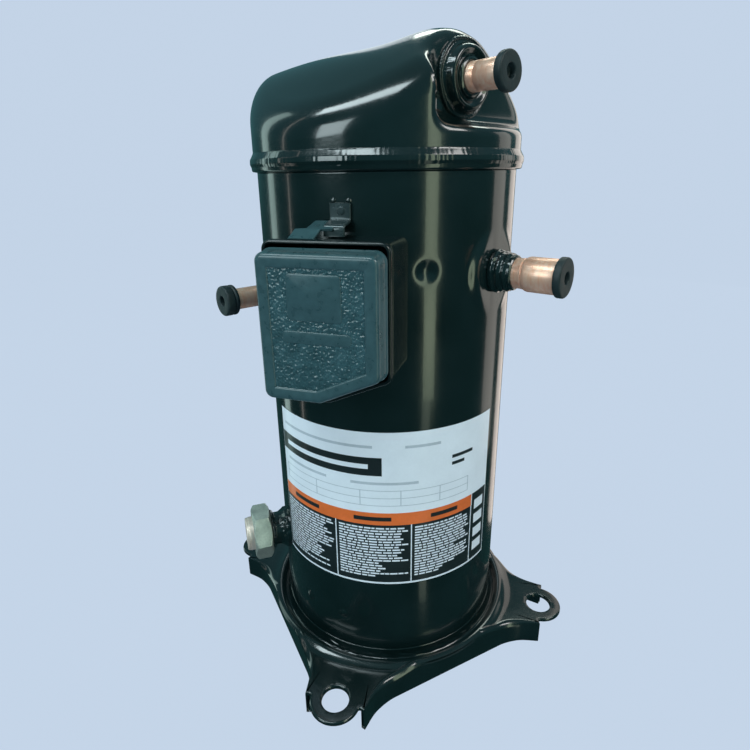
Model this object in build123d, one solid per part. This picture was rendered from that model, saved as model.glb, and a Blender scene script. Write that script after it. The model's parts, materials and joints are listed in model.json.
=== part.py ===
from build123d import *
import math
import os

# Scroll compressor, in millimetres. +Z is up, along the shaft. The origin is the centre of the mounting
# holes, in the plane of the feet's underside. The terminal box faces -Y. An azimuth is an angle about Z,
# in degrees, measured from -Y towards +X. Pairs named _Z are lower and upper levels.

# ---- driving dimensions ----
HOLE_PCD = 269.4
HOLE_R = 9.8
PLATE_T = 3.0
FLANGE_DEPTH = 17.0
SHELL_R = 91.0
WALL = 3.5
SHELL_BOTTOM = 26.0
SHELL_TOP = 357.5
RIM_TOP = 366.0
RIM_R = 94.2
CAP_R = 93.0
CAP_PEAK = 439.0
ORBIT_R = 3.95
SHAFT_R = 17.0
GAP = 0.3
RUNNING = 0.05
INSIDE, OUTSIDE = 40.0, 150.0

# ---- outside levels and sizes ----
FOOT_R = 18.5
EDGE_HALF, EDGE_END = 101.0, 52.0
FLARE_X, FLARE_END = 104.5, 66.0
LIP_X, LIP_END = 110.5, 80.0
OUTLINE_ROUND = 14.0
DISH_R = 95.5
DISH_DROP = 7.0
DISH_HOLE_R = 78.0
BOWL_R = 40.0
BORE_R = SHELL_R - WALL

BOX_HALF = 38.5
BOX_RIM_Y = -120.0
BOX_FRONT_Y = -134.0
BOX_BOTTOM = 226.0
BOX_TOP = 322.0
COVER_HALF = 37.0
COVER_BOTTOM = 230.0
COVER_TOP = 318.0
TERMINAL_Z = 276.0

DISCHARGE_AZ, DISCHARGE_Z = 60.0, 408.8
SUCTION_AZ, SUCTION_Z = 69.0, 294.4
INJECTION_AZ, INJECTION_Z = -32.0, 283.0
FITTING_AZ, FITTING_Z = -54.0, 75.5
STAKE_AZ = (32.0, 122.0, 212.0, 302.0)
STAKE_Z = 299.8

# ---- motor ----
CORE_Z = (90.0, 196.0)
STATOR_BORE_R = 48.5
ROTOR_R = 48.0
SLOTS = 24
SLOT_DEPTH = 17.0
SLOT_W = 7.0
COIL_RISE = 22.0

# ---- scroll set ----
BASE_CIRCLE = 2.6
WRAP_T = 4.0
WRAP_START = 4.7
WRAP_END = 20.4
WRAP_H = 25.0
THRUST_Z = 300.0
ORBIT_PLATE_T = 9.0
ORBIT_PLATE_R = 61.0
FIXED_PLATE_T = 14.0
POST_R = 78.0
CHANNEL_Z = 291.0

# ---- fittings ----
PAD_R, PAD_DEPTH, PAD_SINK = 31.0, 14.0, 0.4
STAKE_BALL_R = 12.0
STAKE_DEPTH = 1.8
SUCTION_COLLAR_R, SUCTION_NECK_R, SUCTION_BELL_R, SUCTION_BORE_R, SUCTION_TIP = 13.5, 9.7, 11.15, 9.6, 133.0
INJECTION_COLLAR_R, INJECTION_TUBE_R, INJECTION_BORE_R, INJECTION_TIP = 8.0, 6.5, 4.8, 126.5
DISCHARGE_TUBE_R, DISCHARGE_BORE_R, DISCHARGE_TIP = 8.35, 6.4, 97.0
DISCHARGE_BOSS_R, DISCHARGE_WELD_R = 18.0, 24.0
MOUTH_DEPTH, MOUTH_STEP, SOCKET_DEPTH = 9.0, 0.2, 11.0
STOP_STEP, BELL_LENGTH, BELL_FLARE = 1.0, 22.0, 2.0
DISCHARGE_PLUG_R, DISCHARGE_PLUG_T = 10.9, 5.0
SUCTION_PLUG_R, SUCTION_PLUG_T = 12.6, 5.0
INJECTION_PLUG_R, INJECTION_PLUG_T = 9.3, 8.0
PLUG_FLOOR = 1.5
BOSS_STEM_R, BOSS_FLARE_R, BOSS_NECK_R, BOSS_BORE_R, THREAD_R, BOSS_TIP = 12.0, 16.0, 13.5, 8.0, 15.8, 112.0
NUT_AF, NUT_START, NUT_END, NUT_CHAMFER, CORNER_RATIO = 38.0, 104.7, 118.9, 1.6, 1.13
CAP_SEAT, BLANK_R, BLANK_END = 113.9, 13.35, 124.6

# ---- cap form ----
CAP_ROUND = 26.0
SLANT_ROUND = 14.0
SLANT_AZ, SLANT_SLOPE, SLANT_CENTRE_Z = -35.0, 0.42, 429.0
POCKET_D, POCKET_HALF, POCKET_BOTTOM, POCKET_CORNER = 68.0, 30.0, 383.0, 10.0
SEAL_SEAT_R = 22.0

# ---- terminal box details ----
BOX_CUT, BOX_WALL, BOX_FLOOR_Y = 17.0, 2.5, -99.0
TERMINAL_R, GASKET_R, PIN_CIRCLE_R, PIN_R, BEAD_R = 17.0, 23.5, 7.5, 1.6, 3.2
PIN_LENGTH, PIN_COUNT, TAB_W, TAB_T, TAB_H, GLASS_T = 32.0, 3, 6.3, 0.8, 9.0, 5.0
CUP_BACK, CUP_FRONT, CUP_FLOOR, CUP_WALL = 6.0, 3.0, 2.0, 3.0
STRAP_Z, STRAP_BEND_Z, STRAP_OUT_Y, STRAP_T, STRAP_W = (BOX_TOP + 0.1, 340.5), 328.5, -104.0, 2.0, 13.0
LABEL_Z, LABEL_AZ, LABEL_T = (70.0, 194.0), (-43.0, 71.0), 0.2

# ---- bearings and bracket ----
MAIN_BUSH_Z, LOWER_BUSH_Z = (234.0, 276.0), (27.0, 50.0)
BRACKET_Z, BRACKET_HUB_R, BRACKET_ARM_Z, BRACKET_PAD_Z = (24.0, 52.0), 21.0, (32.0, 37.0), (28.0, 46.0)
ARM_HALF, BRACKET_TURN, PAD_T = 9.0, 3.0, 6.0
HOUSING_HUB_Z, HOUSING_WALL, HOUSING_DISC_R, HOUSING_DISC_LOW = (232.0, 275.0), 8.0, 70.0, 271.0
HOUSING_ARM_Z, HOUSING_ARM_HALF, POST_FOOT_Z, POST_BODY_R = (281.0, 312.0), 12.0, 283.0, 7.5

# ---- rotor and counterweights ----
END_RING_R, END_RING_T, FIN_COUNT, FIN_R, FIN_T, FIN_TIP = 34.0, 9.0, 8, (37.0, 45.0), 2.4, 14.0
CLAMP_R = 27.0
UPPER_WEIGHT_Z, UPPER_WEIGHT_R, UPPER_WEIGHT_TURN = (213.0, 227.0), 42.0, 180.0
LOWER_WEIGHT_Z, LOWER_WEIGHT_R, LOWER_WEIGHT_TURN = (61.0, 73.0), 44.0, 0.0

# ---- oil parts ----
OIL_BORE_R, OIL_BORE_TOP, OIL_WAY_R, OIL_WAY_LOW, CROSS_R, CROSS_Z = 3.0, 120.0, 2.0, 110.0, 1.5, 262.0
SHAFT_FOOT, LOWER_SHAFT_TOP = 22.0, 60.0
PICKUP_Z, PICKUP_WALL, PICKUP_TUBE_R, PADDLE_HALF, PADDLE_T = (4.0, 26.0), 2.0, 6.0, 14.0, 2.0
MAGNET_R, MAGNET_T, MAGNET_AT, MAGNET_AZ = 9.0, 5.0, 34.0, 150.0
BAFFLE_T, BAFFLE_HALF_AZ, BAFFLE_DROP = 1.2, 18.0, (46.0, 20.0)
PROTECTOR_AT, PROTECTOR_AZ, PROTECTOR_SIZE = STATOR_BORE_R + 12, 150.0, (26.0, 15.0, 10.0)

# ---- shaft and scroll details ----
LOWER_JOURNAL_R, PIN_JOURNAL_R, ORBIT_JOURNAL_R, ORBIT_BUSH_R, HUB_R = 12.0, 11.0, 14.0, 16.5, 20.0
CRANK_FACE_Z, PIN_TOP, HUB_BOTTOM, HUB_POCKET_R, BUSH_T = 279.0, 297.5, 281.5, 25.0, 3.0
CHANNEL_R, OLDHAM_R, KEY_R, KEY_W = (41.0, 66.0), (46.0, 57.5), 52.0, 8.0
POST_AZ = (100.0, 190.0, 280.0, 10.0)
SLEEVE_Z, SLEEVE_H, SLEEVE_R = 330.0, 15.5, 5.5
EAR_R, EAR_T, EAR_START = 9.0, 9.0, 55.0
SCREW_R, SCREW_BORE_R, SCREW_HEAD_R, SCREW_HEAD_T, SCREW_LOW, SCREW_SOCKET = 3.0, 3.02, 6.2, 5.0, 286.0, 2.5
PORT_R, VALVE_R, VALVE_T, VALVE_SINK, VALVE_ROOM = 6.0, 10.0, 1.0, 3.0, 1.5
SEAL_R, SEAL_LIFT, SEAL_H, LIP_R = (26.0, 42.0), 1.0, 8.0, (29.0, 35.0)
GROOVE_H, GROOVE_WALL, CHIMNEY_R = 9.0, 6.0, 17.0
RETAINER_R, RETAINER_T, RETAINER_HOLES, RETAINER_HOLE_R, RETAINER_CIRCLE_R = 16.5, 3.0, 6, 2.6, 9.0
FIXED_PLATE_R, KEY_ROOM = 66.0, 10.0
WRAP_POINTS = 48


def polar(r, az, z=0.0):
    """A point at a radius and azimuth."""
    a = math.radians(az)
    return Vector(r * math.sin(a), -r * math.cos(a), z)


def out_plane(r, az, z):
    """A plane whose normal points out along an azimuth; its x runs level and its y up."""
    normal = polar(1, az)
    return Plane(origin=polar(r, az, z), x_dir=normal.cross(Vector(0, 0, 1)) * -1, z_dir=normal)


def disc(r, z0, z1, x=0.0, y=0.0):
    """An upright cylinder from z0 to z1."""
    return Pos(x, y, (z0 + z1) / 2) * Cylinder(r, z1 - z0)


def ring(r_out, r_in, z0, z1, x=0.0, y=0.0):
    """An upright tube from z0 to z1."""
    return disc(r_out, z0, z1, x, y) - disc(r_in, z0 - 1, z1 + 1, x, y)


def block(x0, x1, y0, y1, z0, z1):
    """A box given by its faces."""
    return Pos((x0 + x1) / 2, (y0 + y1) / 2, (z0 + z1) / 2) * Box(x1 - x0, y1 - y0, z1 - z0)


def turned(points):
    """A solid of revolution about Z from (r, z) points."""
    outline = Polyline(*[(r, z) for r, z in points], close=True)
    return revolve(Plane.XZ * make_face(outline), Axis.Z)


def turned_out(points, az, z):
    """A solid of revolution about a radial axis; points are (distance from Z, radius)."""
    profile = make_face(Polyline(*[(r, d) for d, r in points], close=True))
    solid = revolve(Plane.XZ * profile, Axis.Z)
    return out_plane(0, az, z) * solid


def rod_out(r, d0, d1, az, z):
    """A cylinder along a radial axis."""
    return out_plane((d0 + d1) / 2, az, z) * Cylinder(r, d1 - d0)


def tube_out(r_out, r_in, d0, d1, az, z):
    """A tube along a radial axis."""
    return rod_out(r_out, d0, d1, az, z) - rod_out(r_in, d0 - 1, d1 + 1, az, z)


def rotate_z(shape, angle):
    """A copy of a shape turned about Z."""
    return Rot(0, 0, angle) * shape


def group(shapes):
    """Several separate solids as one node."""
    solids = []
    for shape in shapes:
        solids.extend(shape.solids())
    return Compound(children=solids) if len(solids) > 1 else solids[0]


# ---- base ----
def base_outline(inset):
    """The plate's outline without its feet, pulled in by an inset: four sides that flare near each foot."""
    half = [(EDGE_HALF, EDGE_END), (FLARE_X, FLARE_END), (LIP_X, LIP_END)]
    side = [(x, -y) for x, y in reversed(half)] + half
    points = []
    for turn in range(4):
        a = math.radians(90 * turn)
        for x, y in side:
            out = x - inset
            points.append((out * math.cos(a) - y * math.sin(a), out * math.sin(a) + y * math.cos(a)))
    face = make_face(Polyline(*points, close=True))
    corners = [v for v in face.vertices() if max(abs(v.X), abs(v.Y)) < LIP_X - inset - 1]
    return fillet(corners, OUTLINE_ROUND)


def base_plate():
    """Pressed plate: four tabs with holes, down-turned flanges along the sides and a dish round the shell."""
    sheet = extrude(base_outline(0), PLATE_T)
    wall = base_outline(0) - base_outline(PLATE_T)
    skirt = Pos(0, 0, -FLANGE_DEPTH) * extrude(wall, FLANGE_DEPTH + PLATE_T)
    long, wide = 2 * EDGE_HALF + 60, 2 * LIP_END - 2
    sheet += skirt & (Box(long, wide, 60) + Box(wide, long, 60))
    foot_at = HOLE_PCD / 2 / math.sqrt(2)
    outer = [e for e in sheet.edges() if abs(e.center().Z - PLATE_T) < 0.01 and is_side_edge(e)]
    sheet = fillet(outer, PLATE_T * 0.9)
    for sx in (-1, 1):
        for sy in (-1, 1):
            sheet += disc(FOOT_R, 0, PLATE_T, sx * foot_at, sy * foot_at)
    sheet -= disc(DISH_R, -FLANGE_DEPTH - 1, PLATE_T + 1)
    drop = PLATE_T - DISH_DROP
    sheet += turned([
        (DISH_R + 0.01, PLATE_T), (DISH_R - 1.6, PLATE_T - 0.6), (DISH_R - 3.4, PLATE_T - 2.6),
        (DISH_R - 5.4, drop + 1.2), (DISH_R - 8.0, drop), (DISH_HOLE_R, drop), (DISH_HOLE_R, drop - PLATE_T),
        (DISH_R - 8.6, drop - PLATE_T), (DISH_R - 4.6, drop - 1.4), (DISH_R - 1.4, 0), (DISH_R + 0.01, 0),
    ])
    for sx in (-1, 1):
        for sy in (-1, 1):
            sheet -= disc(HOLE_R, -5, PLATE_T + 5, sx * foot_at, sy * foot_at)
    return rotate_z(sheet, 45)


def is_side_edge(edge):
    """Whether an edge lies on the outer rim of one of the four flanged sides."""
    c = edge.center()
    far, near = max(abs(c.X), abs(c.Y)), min(abs(c.X), abs(c.Y))
    return far > EDGE_HALF - 1.5 and near < LIP_END - 0.5


def bowl(radius, bottom, top, corner):
    """A solid cup shape with a round corner between its wall and its floor."""
    body = disc(radius, bottom, top)
    return fillet(body.edges().sort_by(Axis.Z)[0], corner)


def lower_cap():
    """Bowl that closes the shell's foot and holds the oil."""
    floor = SHELL_BOTTOM - BOWL_R
    above = SHELL_BOTTOM + 20
    body = bowl(SHELL_R, floor, above, BOWL_R) - bowl(BORE_R, floor + WALL, above + 1, BOWL_R - WALL)
    return body - disc(SHELL_R + 1, SHELL_BOTTOM, above + 2)


# ---- shell and cap ----
def shell_body():
    """Centre shell with a flattened pad at the suction fitting, stake dimples and its fitting holes."""
    body = disc(SHELL_R, SHELL_BOTTOM, SHELL_TOP)
    body += rod_out(PAD_R, SHELL_R - PAD_DEPTH, SHELL_R - PAD_SINK, SUCTION_AZ, SUCTION_Z)
    body -= disc(BORE_R, SHELL_BOTTOM - 1, SHELL_TOP + 1)
    for az in STAKE_AZ:
        body -= out_plane(SHELL_R + STAKE_BALL_R - STAKE_DEPTH, az, STAKE_Z) * Sphere(STAKE_BALL_R)
    body -= hole_out(SUCTION_COLLAR_R, SUCTION_AZ, SUCTION_Z)
    body -= hole_out(INJECTION_COLLAR_R, INJECTION_AZ, INJECTION_Z)
    body -= hole_out(BOSS_STEM_R, FITTING_AZ, FITTING_Z)
    body -= hole_out(TERMINAL_R, 0, TERMINAL_Z)
    return body


def hole_out(r, az, z):
    """A rod through one wall along a radial axis, to cut a hole with."""
    return rod_out(r, INSIDE, OUTSIDE, az, z)


def cap_solid(shrink):
    """The cap's outer form, or with a shrink its inner one: a rounded drum, a slanted front and a pocket."""
    radius = CAP_R - shrink
    body = disc(radius, RIM_TOP, CAP_PEAK - shrink)
    body = fillet(body.edges().sort_by(Axis.Z)[-1], CAP_ROUND - shrink)
    slant = Plane(origin=(0, 0, SLANT_CENTRE_Z - shrink * 1.1), z_dir=slant_normal())
    body -= slant * (Pos(0, 0, 100) * Box(400, 400, 200))
    rim = [e for e in body.edges() if on_slant(e, slant)]
    body = fillet(rim, SLANT_ROUND - shrink)
    face = POCKET_D - shrink
    pocket = Pos(0, 0, face + 50) * Box(2 * (POCKET_HALF + shrink), 120, 100)
    pocket = fillet(pocket.edges().filter_by(Axis.Z), POCKET_CORNER + shrink)
    return body - out_plane(0, DISCHARGE_AZ, POCKET_BOTTOM - shrink + 60) * pocket


def on_slant(edge, slant):
    """Whether an edge lies in the slanted plane."""
    return all(abs(slant.to_local_coords(edge @ t).Z) < 0.01 for t in (0, 0.5, 1))


def slant_normal():
    """Normal of the slanted front of the cap."""
    low = polar(1, SLANT_AZ)
    return Vector(low.X * SLANT_SLOPE, low.Y * SLANT_SLOPE, 1)


def top_cap():
    """Domed cap with a sloping front and a flat-faced pocket for the discharge fitting."""
    body = cap_solid(0) - cap_solid(WALL)
    return body - hole_out(DISCHARGE_BOSS_R, DISCHARGE_AZ, DISCHARGE_Z)


def partition_plate():
    """Dished plate between suction and discharge pressure; its rim shows in the seam."""
    return turned([
        (RIM_R - 3, SHELL_TOP), (RIM_R, SHELL_TOP + 3), (RIM_R, RIM_TOP - 2.5), (RIM_R - 1.2, RIM_TOP),
        (84, RIM_TOP), (76, RIM_TOP + 7), (66, RIM_TOP + 10), (SEAL_SEAT_R, RIM_TOP + 10),
        (SEAL_SEAT_R, RIM_TOP + 5), (64, RIM_TOP + 5), (73, RIM_TOP + 2.5), (81, SHELL_TOP),
    ])


# ---- tube fittings ----
def discharge_fitting():
    """Round boss welded into the cap's pocket."""
    back = POCKET_D - WALL - 4
    body = turned_out([
        (back, 0), (back, DISCHARGE_BOSS_R), (POCKET_D, DISCHARGE_BOSS_R), (POCKET_D, DISCHARGE_WELD_R),
        (POCKET_D + 2.5, DISCHARGE_WELD_R - 2), (POCKET_D + 2.5, DISCHARGE_BOSS_R),
        (POCKET_D + 6, DISCHARGE_BOSS_R), (POCKET_D + 8, DISCHARGE_BOSS_R - 2.5), (POCKET_D + 8, 0),
    ], DISCHARGE_AZ, DISCHARGE_Z)
    return body - hole_out(DISCHARGE_TUBE_R, DISCHARGE_AZ, DISCHARGE_Z)


def discharge_stub():
    """Copper tube brazed into the discharge boss, with a rolled stop bead inside its mouth."""
    return stub(DISCHARGE_TUBE_R, DISCHARGE_BORE_R, POCKET_D - 6, DISCHARGE_TIP, DISCHARGE_AZ, DISCHARGE_Z)


def stub(r_out, r_bore, start, tip, az, z):
    """A straight tube stub with a slightly wider mouth where its plug sits."""
    body = tube_out(r_out, r_bore - STOP_STEP, start, tip, az, z)
    body -= rod_out(r_bore, tip - MOUTH_DEPTH - SOCKET_DEPTH, tip + 1, az, z)
    return body - rod_out(r_bore + MOUTH_STEP, tip - MOUTH_DEPTH, tip + 1, az, z)


def suction_collar():
    """Steel collar welded into the shell round the suction stub."""
    body = turned_out([
        (SHELL_R - 7, 0), (SHELL_R - 7, SUCTION_COLLAR_R), (SHELL_R + 12, SUCTION_COLLAR_R),
        (SHELL_R + 15, SUCTION_COLLAR_R - 3), (SHELL_R + 15, 0),
    ], SUCTION_AZ, SUCTION_Z)
    return body - hole_out(SUCTION_NECK_R, SUCTION_AZ, SUCTION_Z)


def suction_stub():
    """Copper stub with a belled socket."""
    start, step = SHELL_R - 7, SUCTION_TIP - BELL_LENGTH
    body = turned_out([
        (start, 0), (start, SUCTION_NECK_R), (step, SUCTION_NECK_R), (step + BELL_FLARE, SUCTION_BELL_R),
        (SUCTION_TIP, SUCTION_BELL_R), (SUCTION_TIP, 0),
    ], SUCTION_AZ, SUCTION_Z)
    body -= hole_out(SUCTION_NECK_R - 1.3, SUCTION_AZ, SUCTION_Z)
    mouth = SUCTION_TIP - MOUTH_DEPTH
    body -= rod_out(SUCTION_BORE_R, mouth - SOCKET_DEPTH, OUTSIDE, SUCTION_AZ, SUCTION_Z)
    return body - rod_out(SUCTION_BORE_R + MOUTH_STEP, mouth, OUTSIDE, SUCTION_AZ, SUCTION_Z)


def injection_collar():
    """Small weld collar round the injection stub."""
    return tube_out(INJECTION_COLLAR_R, INJECTION_TUBE_R, SHELL_R - 6, SHELL_R + 4, INJECTION_AZ, INJECTION_Z)


def injection_stub():
    """Copper injection tube."""
    return stub(INJECTION_TUBE_R, INJECTION_BORE_R, SHELL_R - 6, INJECTION_TIP, INJECTION_AZ, INJECTION_Z)


def plug(r_head, thick, r_stem, tip, az, z):
    """Rubber plug: a round head with a blind centre hole, and a stem inside the tube's mouth."""
    body = rod_out(r_head, tip, tip + thick, az, z)
    body += rod_out(r_stem, tip - MOUTH_DEPTH + 1, tip + 1, az, z)
    return body - rod_out(r_stem * 0.5, tip + PLUG_FLOOR, tip + thick + 1, az, z)


def oil_fitting_boss():
    """Threaded steel boss low on the shell, open to the oil."""
    body = turned_out([
        (SHELL_R - 1, 0), (SHELL_R - 1, BOSS_FLARE_R), (SHELL_R + 1.5, BOSS_FLARE_R),
        (SHELL_R + 5, BOSS_NECK_R), (NUT_START - 2.5, BOSS_NECK_R),
        (NUT_START - 1.5, THREAD_R), (BOSS_TIP, THREAD_R), (BOSS_TIP, 0),
    ], FITTING_AZ, FITTING_Z)
    body -= disc(SHELL_R + 0.02, FITTING_Z - 20, FITTING_Z + 20)
    body += rod_out(BOSS_STEM_R, SHELL_R - 2.5, SHELL_R + 2, FITTING_AZ, FITTING_Z)
    return body - hole_out(BOSS_BORE_R, FITTING_AZ, FITTING_Z)


def rotalock_nut():
    """Hexagon union nut that holds the blanking cap on the boss."""
    hexagon = extrude(RegularPolygon(NUT_AF / 2, 6, major_radius=False), NUT_END - NUT_START)
    cone = Pos(0, 0, (NUT_END - NUT_START) / 2) * Cylinder(NUT_AF / 2 * CORNER_RATIO, NUT_END - NUT_START)
    cone = chamfer(cone.edges().filter_by(GeomType.CIRCLE), NUT_CHAMFER)
    body = out_plane(NUT_START, FITTING_AZ, FITTING_Z) * (hexagon & cone)
    body -= rod_out(THREAD_R + RUNNING, NUT_START - 1, CAP_SEAT, FITTING_AZ, FITTING_Z)
    return body - rod_out(BLANK_R + RUNNING, NUT_START - 1, NUT_END + 1, FITTING_AZ, FITTING_Z)


def blanking_cap():
    """Flanged blank held under the nut's lip."""
    return turned_out([
        (BOSS_TIP + 0.2, 0), (BOSS_TIP + 0.2, THREAD_R - 0.3), (CAP_SEAT - 0.2, THREAD_R - 0.3),
        (CAP_SEAT - 0.2, BLANK_R), (BLANK_END - 1, BLANK_R), (BLANK_END, BLANK_R - 1), (BLANK_END, 0),
    ], FITTING_AZ, FITTING_Z)


# ---- terminal box ----
def box_face(half, bottom, top, cut):
    """The box's five-cornered outline in the XZ plane: one lower corner is cut off."""
    points = [(-half, bottom), (0, bottom), (half, bottom + cut), (half, top), (-half, top)]
    return Plane.XZ * make_face(Polyline(*points, close=True))


def box_solid(half, bottom, top, y_front, y_back, corner):
    """The outline extruded from y_front back to y_back, with rounded upright corners."""
    body = extrude(box_face(half, bottom, top, BOX_CUT), y_back - y_front, dir=(0, 1, 0))
    body = fillet(body.edges().filter_by(Axis.Y), corner)
    return Pos(0, y_front, 0) * body


def terminal_box_base():
    """Plastic tray against the shell, open at the front and round the terminal."""
    body = box_solid(BOX_HALF, BOX_BOTTOM, BOX_TOP, BOX_RIM_Y, -80, 6)
    low, high = BOX_BOTTOM + BOX_WALL, BOX_TOP - BOX_WALL
    body -= box_solid(BOX_HALF - BOX_WALL, low, high, BOX_RIM_Y - 1, BOX_FLOOR_Y, 4)
    body -= disc(SHELL_R + 0.05, BOX_BOTTOM - 1, BOX_TOP + 1)
    return body - hole_out(GASKET_R, 0, TERMINAL_Z)


def terminal_cover():
    """Plastic cover over the tray, with a rounded front edge."""
    body = box_solid(COVER_HALF, COVER_BOTTOM, COVER_TOP, BOX_FRONT_Y, BOX_RIM_Y - 0.3, 5)
    body = fillet(body.faces().sort_by(Axis.Y)[0].edges(), 2.5)
    low, high = COVER_BOTTOM + BOX_WALL, COVER_TOP - BOX_WALL
    return body - box_solid(COVER_HALF - BOX_WALL, low, high, BOX_FRONT_Y + BOX_WALL, BOX_RIM_Y + 1, 3)


def terminal_gasket():
    """Foam ring round the terminal, between tray and shell."""
    body = tube_out(GASKET_R, TERMINAL_R + 1.5, SHELL_R - 3, -BOX_FLOOR_Y, 0, TERMINAL_Z)
    return body - disc(SHELL_R + 0.05, TERMINAL_Z - 40, TERMINAL_Z + 40)


def terminal_body():
    """Steel cup of the hermetic terminal, welded into the shell."""
    body = turned_out([
        (SHELL_R - CUP_BACK, 0), (SHELL_R - CUP_BACK, TERMINAL_R), (SHELL_R + CUP_FRONT, TERMINAL_R),
        (SHELL_R + CUP_FRONT, TERMINAL_R - CUP_WALL), (SHELL_R - CUP_FLOOR, TERMINAL_R - CUP_WALL),
        (SHELL_R - CUP_FLOOR, 0),
    ], 0, TERMINAL_Z)
    for plane in pin_planes():
        body -= plane * Cylinder(BEAD_R, 40)
    return body


def pin_planes():
    """Planes of the three terminal pins, at the shell's radius."""
    base = out_plane(SHELL_R, 0, TERMINAL_Z)
    turns = [360 / PIN_COUNT * k for k in range(PIN_COUNT)]
    return [base * Pos(*(Vector(0, PIN_CIRCLE_R, 0).rotate(Axis.Z, turn))) for turn in turns]


def terminal_glass():
    """Three glass beads round the pins."""
    bead = Pos(0, 0, -CUP_FLOOR - 1.5) * (Cylinder(BEAD_R, GLASS_T) - Cylinder(PIN_R, GLASS_T + 1))
    return group([plane * bead for plane in pin_planes()])


def terminal_pins():
    """Three conductor pins with tab ends."""
    pin = Pos(0, 0, 1) * (Cylinder(PIN_R, PIN_LENGTH) + Pos(0, 0, 12) * Box(TAB_W, TAB_T, TAB_H))
    return group([plane * pin for plane in pin_planes()])


def cover_strap():
    """Bent steel strap above the box, welded to the shell."""
    (low, top), bend = STRAP_Z, STRAP_BEND_Z
    back, front = -SHELL_R - 0.1, -SHELL_R - 0.3 - STRAP_T
    inner = STRAP_OUT_Y + STRAP_T
    points = [
        (back, top), (front, top), (front, bend), (STRAP_OUT_Y, bend - 1.5), (STRAP_OUT_Y, low),
        (inner, low), (inner, bend - 3.4), (back, bend - 2),
    ]
    body = extrude(Plane.YZ * make_face(Polyline(*points, close=True)), STRAP_W, dir=(1, 0, 0))
    return Pos(-STRAP_W / 2, 0, 0) * body - disc(SHELL_R + 0.05, low - 1, top + 1)


def nameplate():
    """Thin label wrapped round the shell."""
    sheet = ring(SHELL_R + 0.05 + LABEL_T, SHELL_R + 0.05, LABEL_Z[0], LABEL_Z[1])
    return sheet & sector(SHELL_R + 5, LABEL_AZ[0], LABEL_AZ[1], LABEL_Z[0], LABEL_Z[1])


def sector(radius, az0, az1, z0, z1):
    """A pie slice between two azimuths."""
    steps = 6
    points = [(0, 0)]
    for k in range(steps + 1):
        p = polar(radius * 1.3, az0 + (az1 - az0) * k / steps)
        points.append((p.X, p.Y))
    return Pos(0, 0, z0) * extrude(make_face(Polyline(*points, close=True)), z1 - z0)


# ---- motor ----
def slot_at(k, grow=0.0):
    """One stator slot as an upright block, from the bore outwards."""
    low, high = CORE_Z[0] - 1 - grow, CORE_Z[1] + 1 + grow
    mouth = block(STATOR_BORE_R - 2, STATOR_BORE_R + 4, -1.4, 1.4, low, high)
    well = block(STATOR_BORE_R + 2.5, STATOR_BORE_R + 2.5 + SLOT_DEPTH, -SLOT_W / 2, SLOT_W / 2, low, high)
    return rotate_z(mouth + well, 360 / SLOTS * k)


def stator_core():
    """Laminated stack pressed into the shell, with winding slots and oil-return flats."""
    body = ring(BORE_R - 0.02, STATOR_BORE_R, *CORE_Z)
    for k in range(SLOTS):
        body -= slot_at(k)
    for k in range(6):
        flat = block(BORE_R - 3, BORE_R + 5, -13, 13, CORE_Z[0] - 1, CORE_Z[1] + 1)
        body -= rotate_z(flat, 60 * k + 15)
    return body


def windings():
    """Copper coils: bundles in the slots, joined by the end turns."""
    inner, outer = STATOR_BORE_R + 3.5, STATOR_BORE_R + SLOT_DEPTH + 4
    body = None
    for low in (CORE_Z[0] - 0.5 - COIL_RISE, CORE_Z[1] + 0.5):
        turn = ring(outer, inner, low, low + COIL_RISE)
        turn = fillet(turn.edges().filter_by(GeomType.CIRCLE), 6)
        body = turn if body is None else body + turn
    reach, half = 4, SLOT_W / 2 - GAP
    for k in range(SLOTS):
        bar = block(STATOR_BORE_R + 4, STATOR_BORE_R + 1.5 + SLOT_DEPTH, -half, half,
                    CORE_Z[0] - reach, CORE_Z[1] + reach)
        body += rotate_z(bar, 360 / SLOTS * k)
    return body


def rotor_core():
    """Laminated rotor on the shaft."""
    return ring(ROTOR_R, SHAFT_R, CORE_Z[0] - 1, CORE_Z[1] + 1)


def rotor_end_rings():
    """Cast rings that join the rotor's bars, with cooling fins."""
    rings = []
    for z, way in ((CORE_Z[0] - 1, -1), (CORE_Z[1] + 1, 1)):
        z0, z1 = sorted((z, z + END_RING_T * way))
        f0, f1 = sorted((z + (END_RING_T - 1) * way, z + FIN_TIP * way))
        body = ring(ROTOR_R - 1, END_RING_R, z0, z1)
        for k in range(FIN_COUNT):
            body += rotate_z(block(*FIN_R, -FIN_T / 2, FIN_T / 2, f0, f1), 360 / FIN_COUNT * k)
        rings.append(body)
    return group(rings)


def half_weight(z0, z1, r_out, heavy_at):
    """A counterweight: a clamp ring round the shaft and a half disc on one side."""
    body = ring(CLAMP_R, SHAFT_R, z0, z1)
    half = ring(r_out, SHAFT_R, z0, z1) & block(0, r_out + 1, -r_out - 1, r_out + 1, z0, z1)
    return rotate_z(body + half, heavy_at)


def crankshaft():
    """Main shaft with journals and the crank pin, drilled for oil."""
    body = disc(SHAFT_R, LOWER_SHAFT_TOP, CRANK_FACE_Z) + disc(LOWER_JOURNAL_R, SHAFT_FOOT, LOWER_SHAFT_TOP)
    body += disc(PIN_JOURNAL_R, CRANK_FACE_Z, PIN_TOP, ORBIT_R)
    body -= disc(OIL_BORE_R, SHAFT_FOOT - 1, OIL_BORE_TOP)
    body -= disc(OIL_WAY_R, OIL_WAY_LOW, PIN_TOP + 1, ORBIT_R)
    return body - rotate_z(Pos(0, 0, CROSS_Z) * Rot(0, 90, 0) * Cylinder(CROSS_R, 40), 45)


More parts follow.
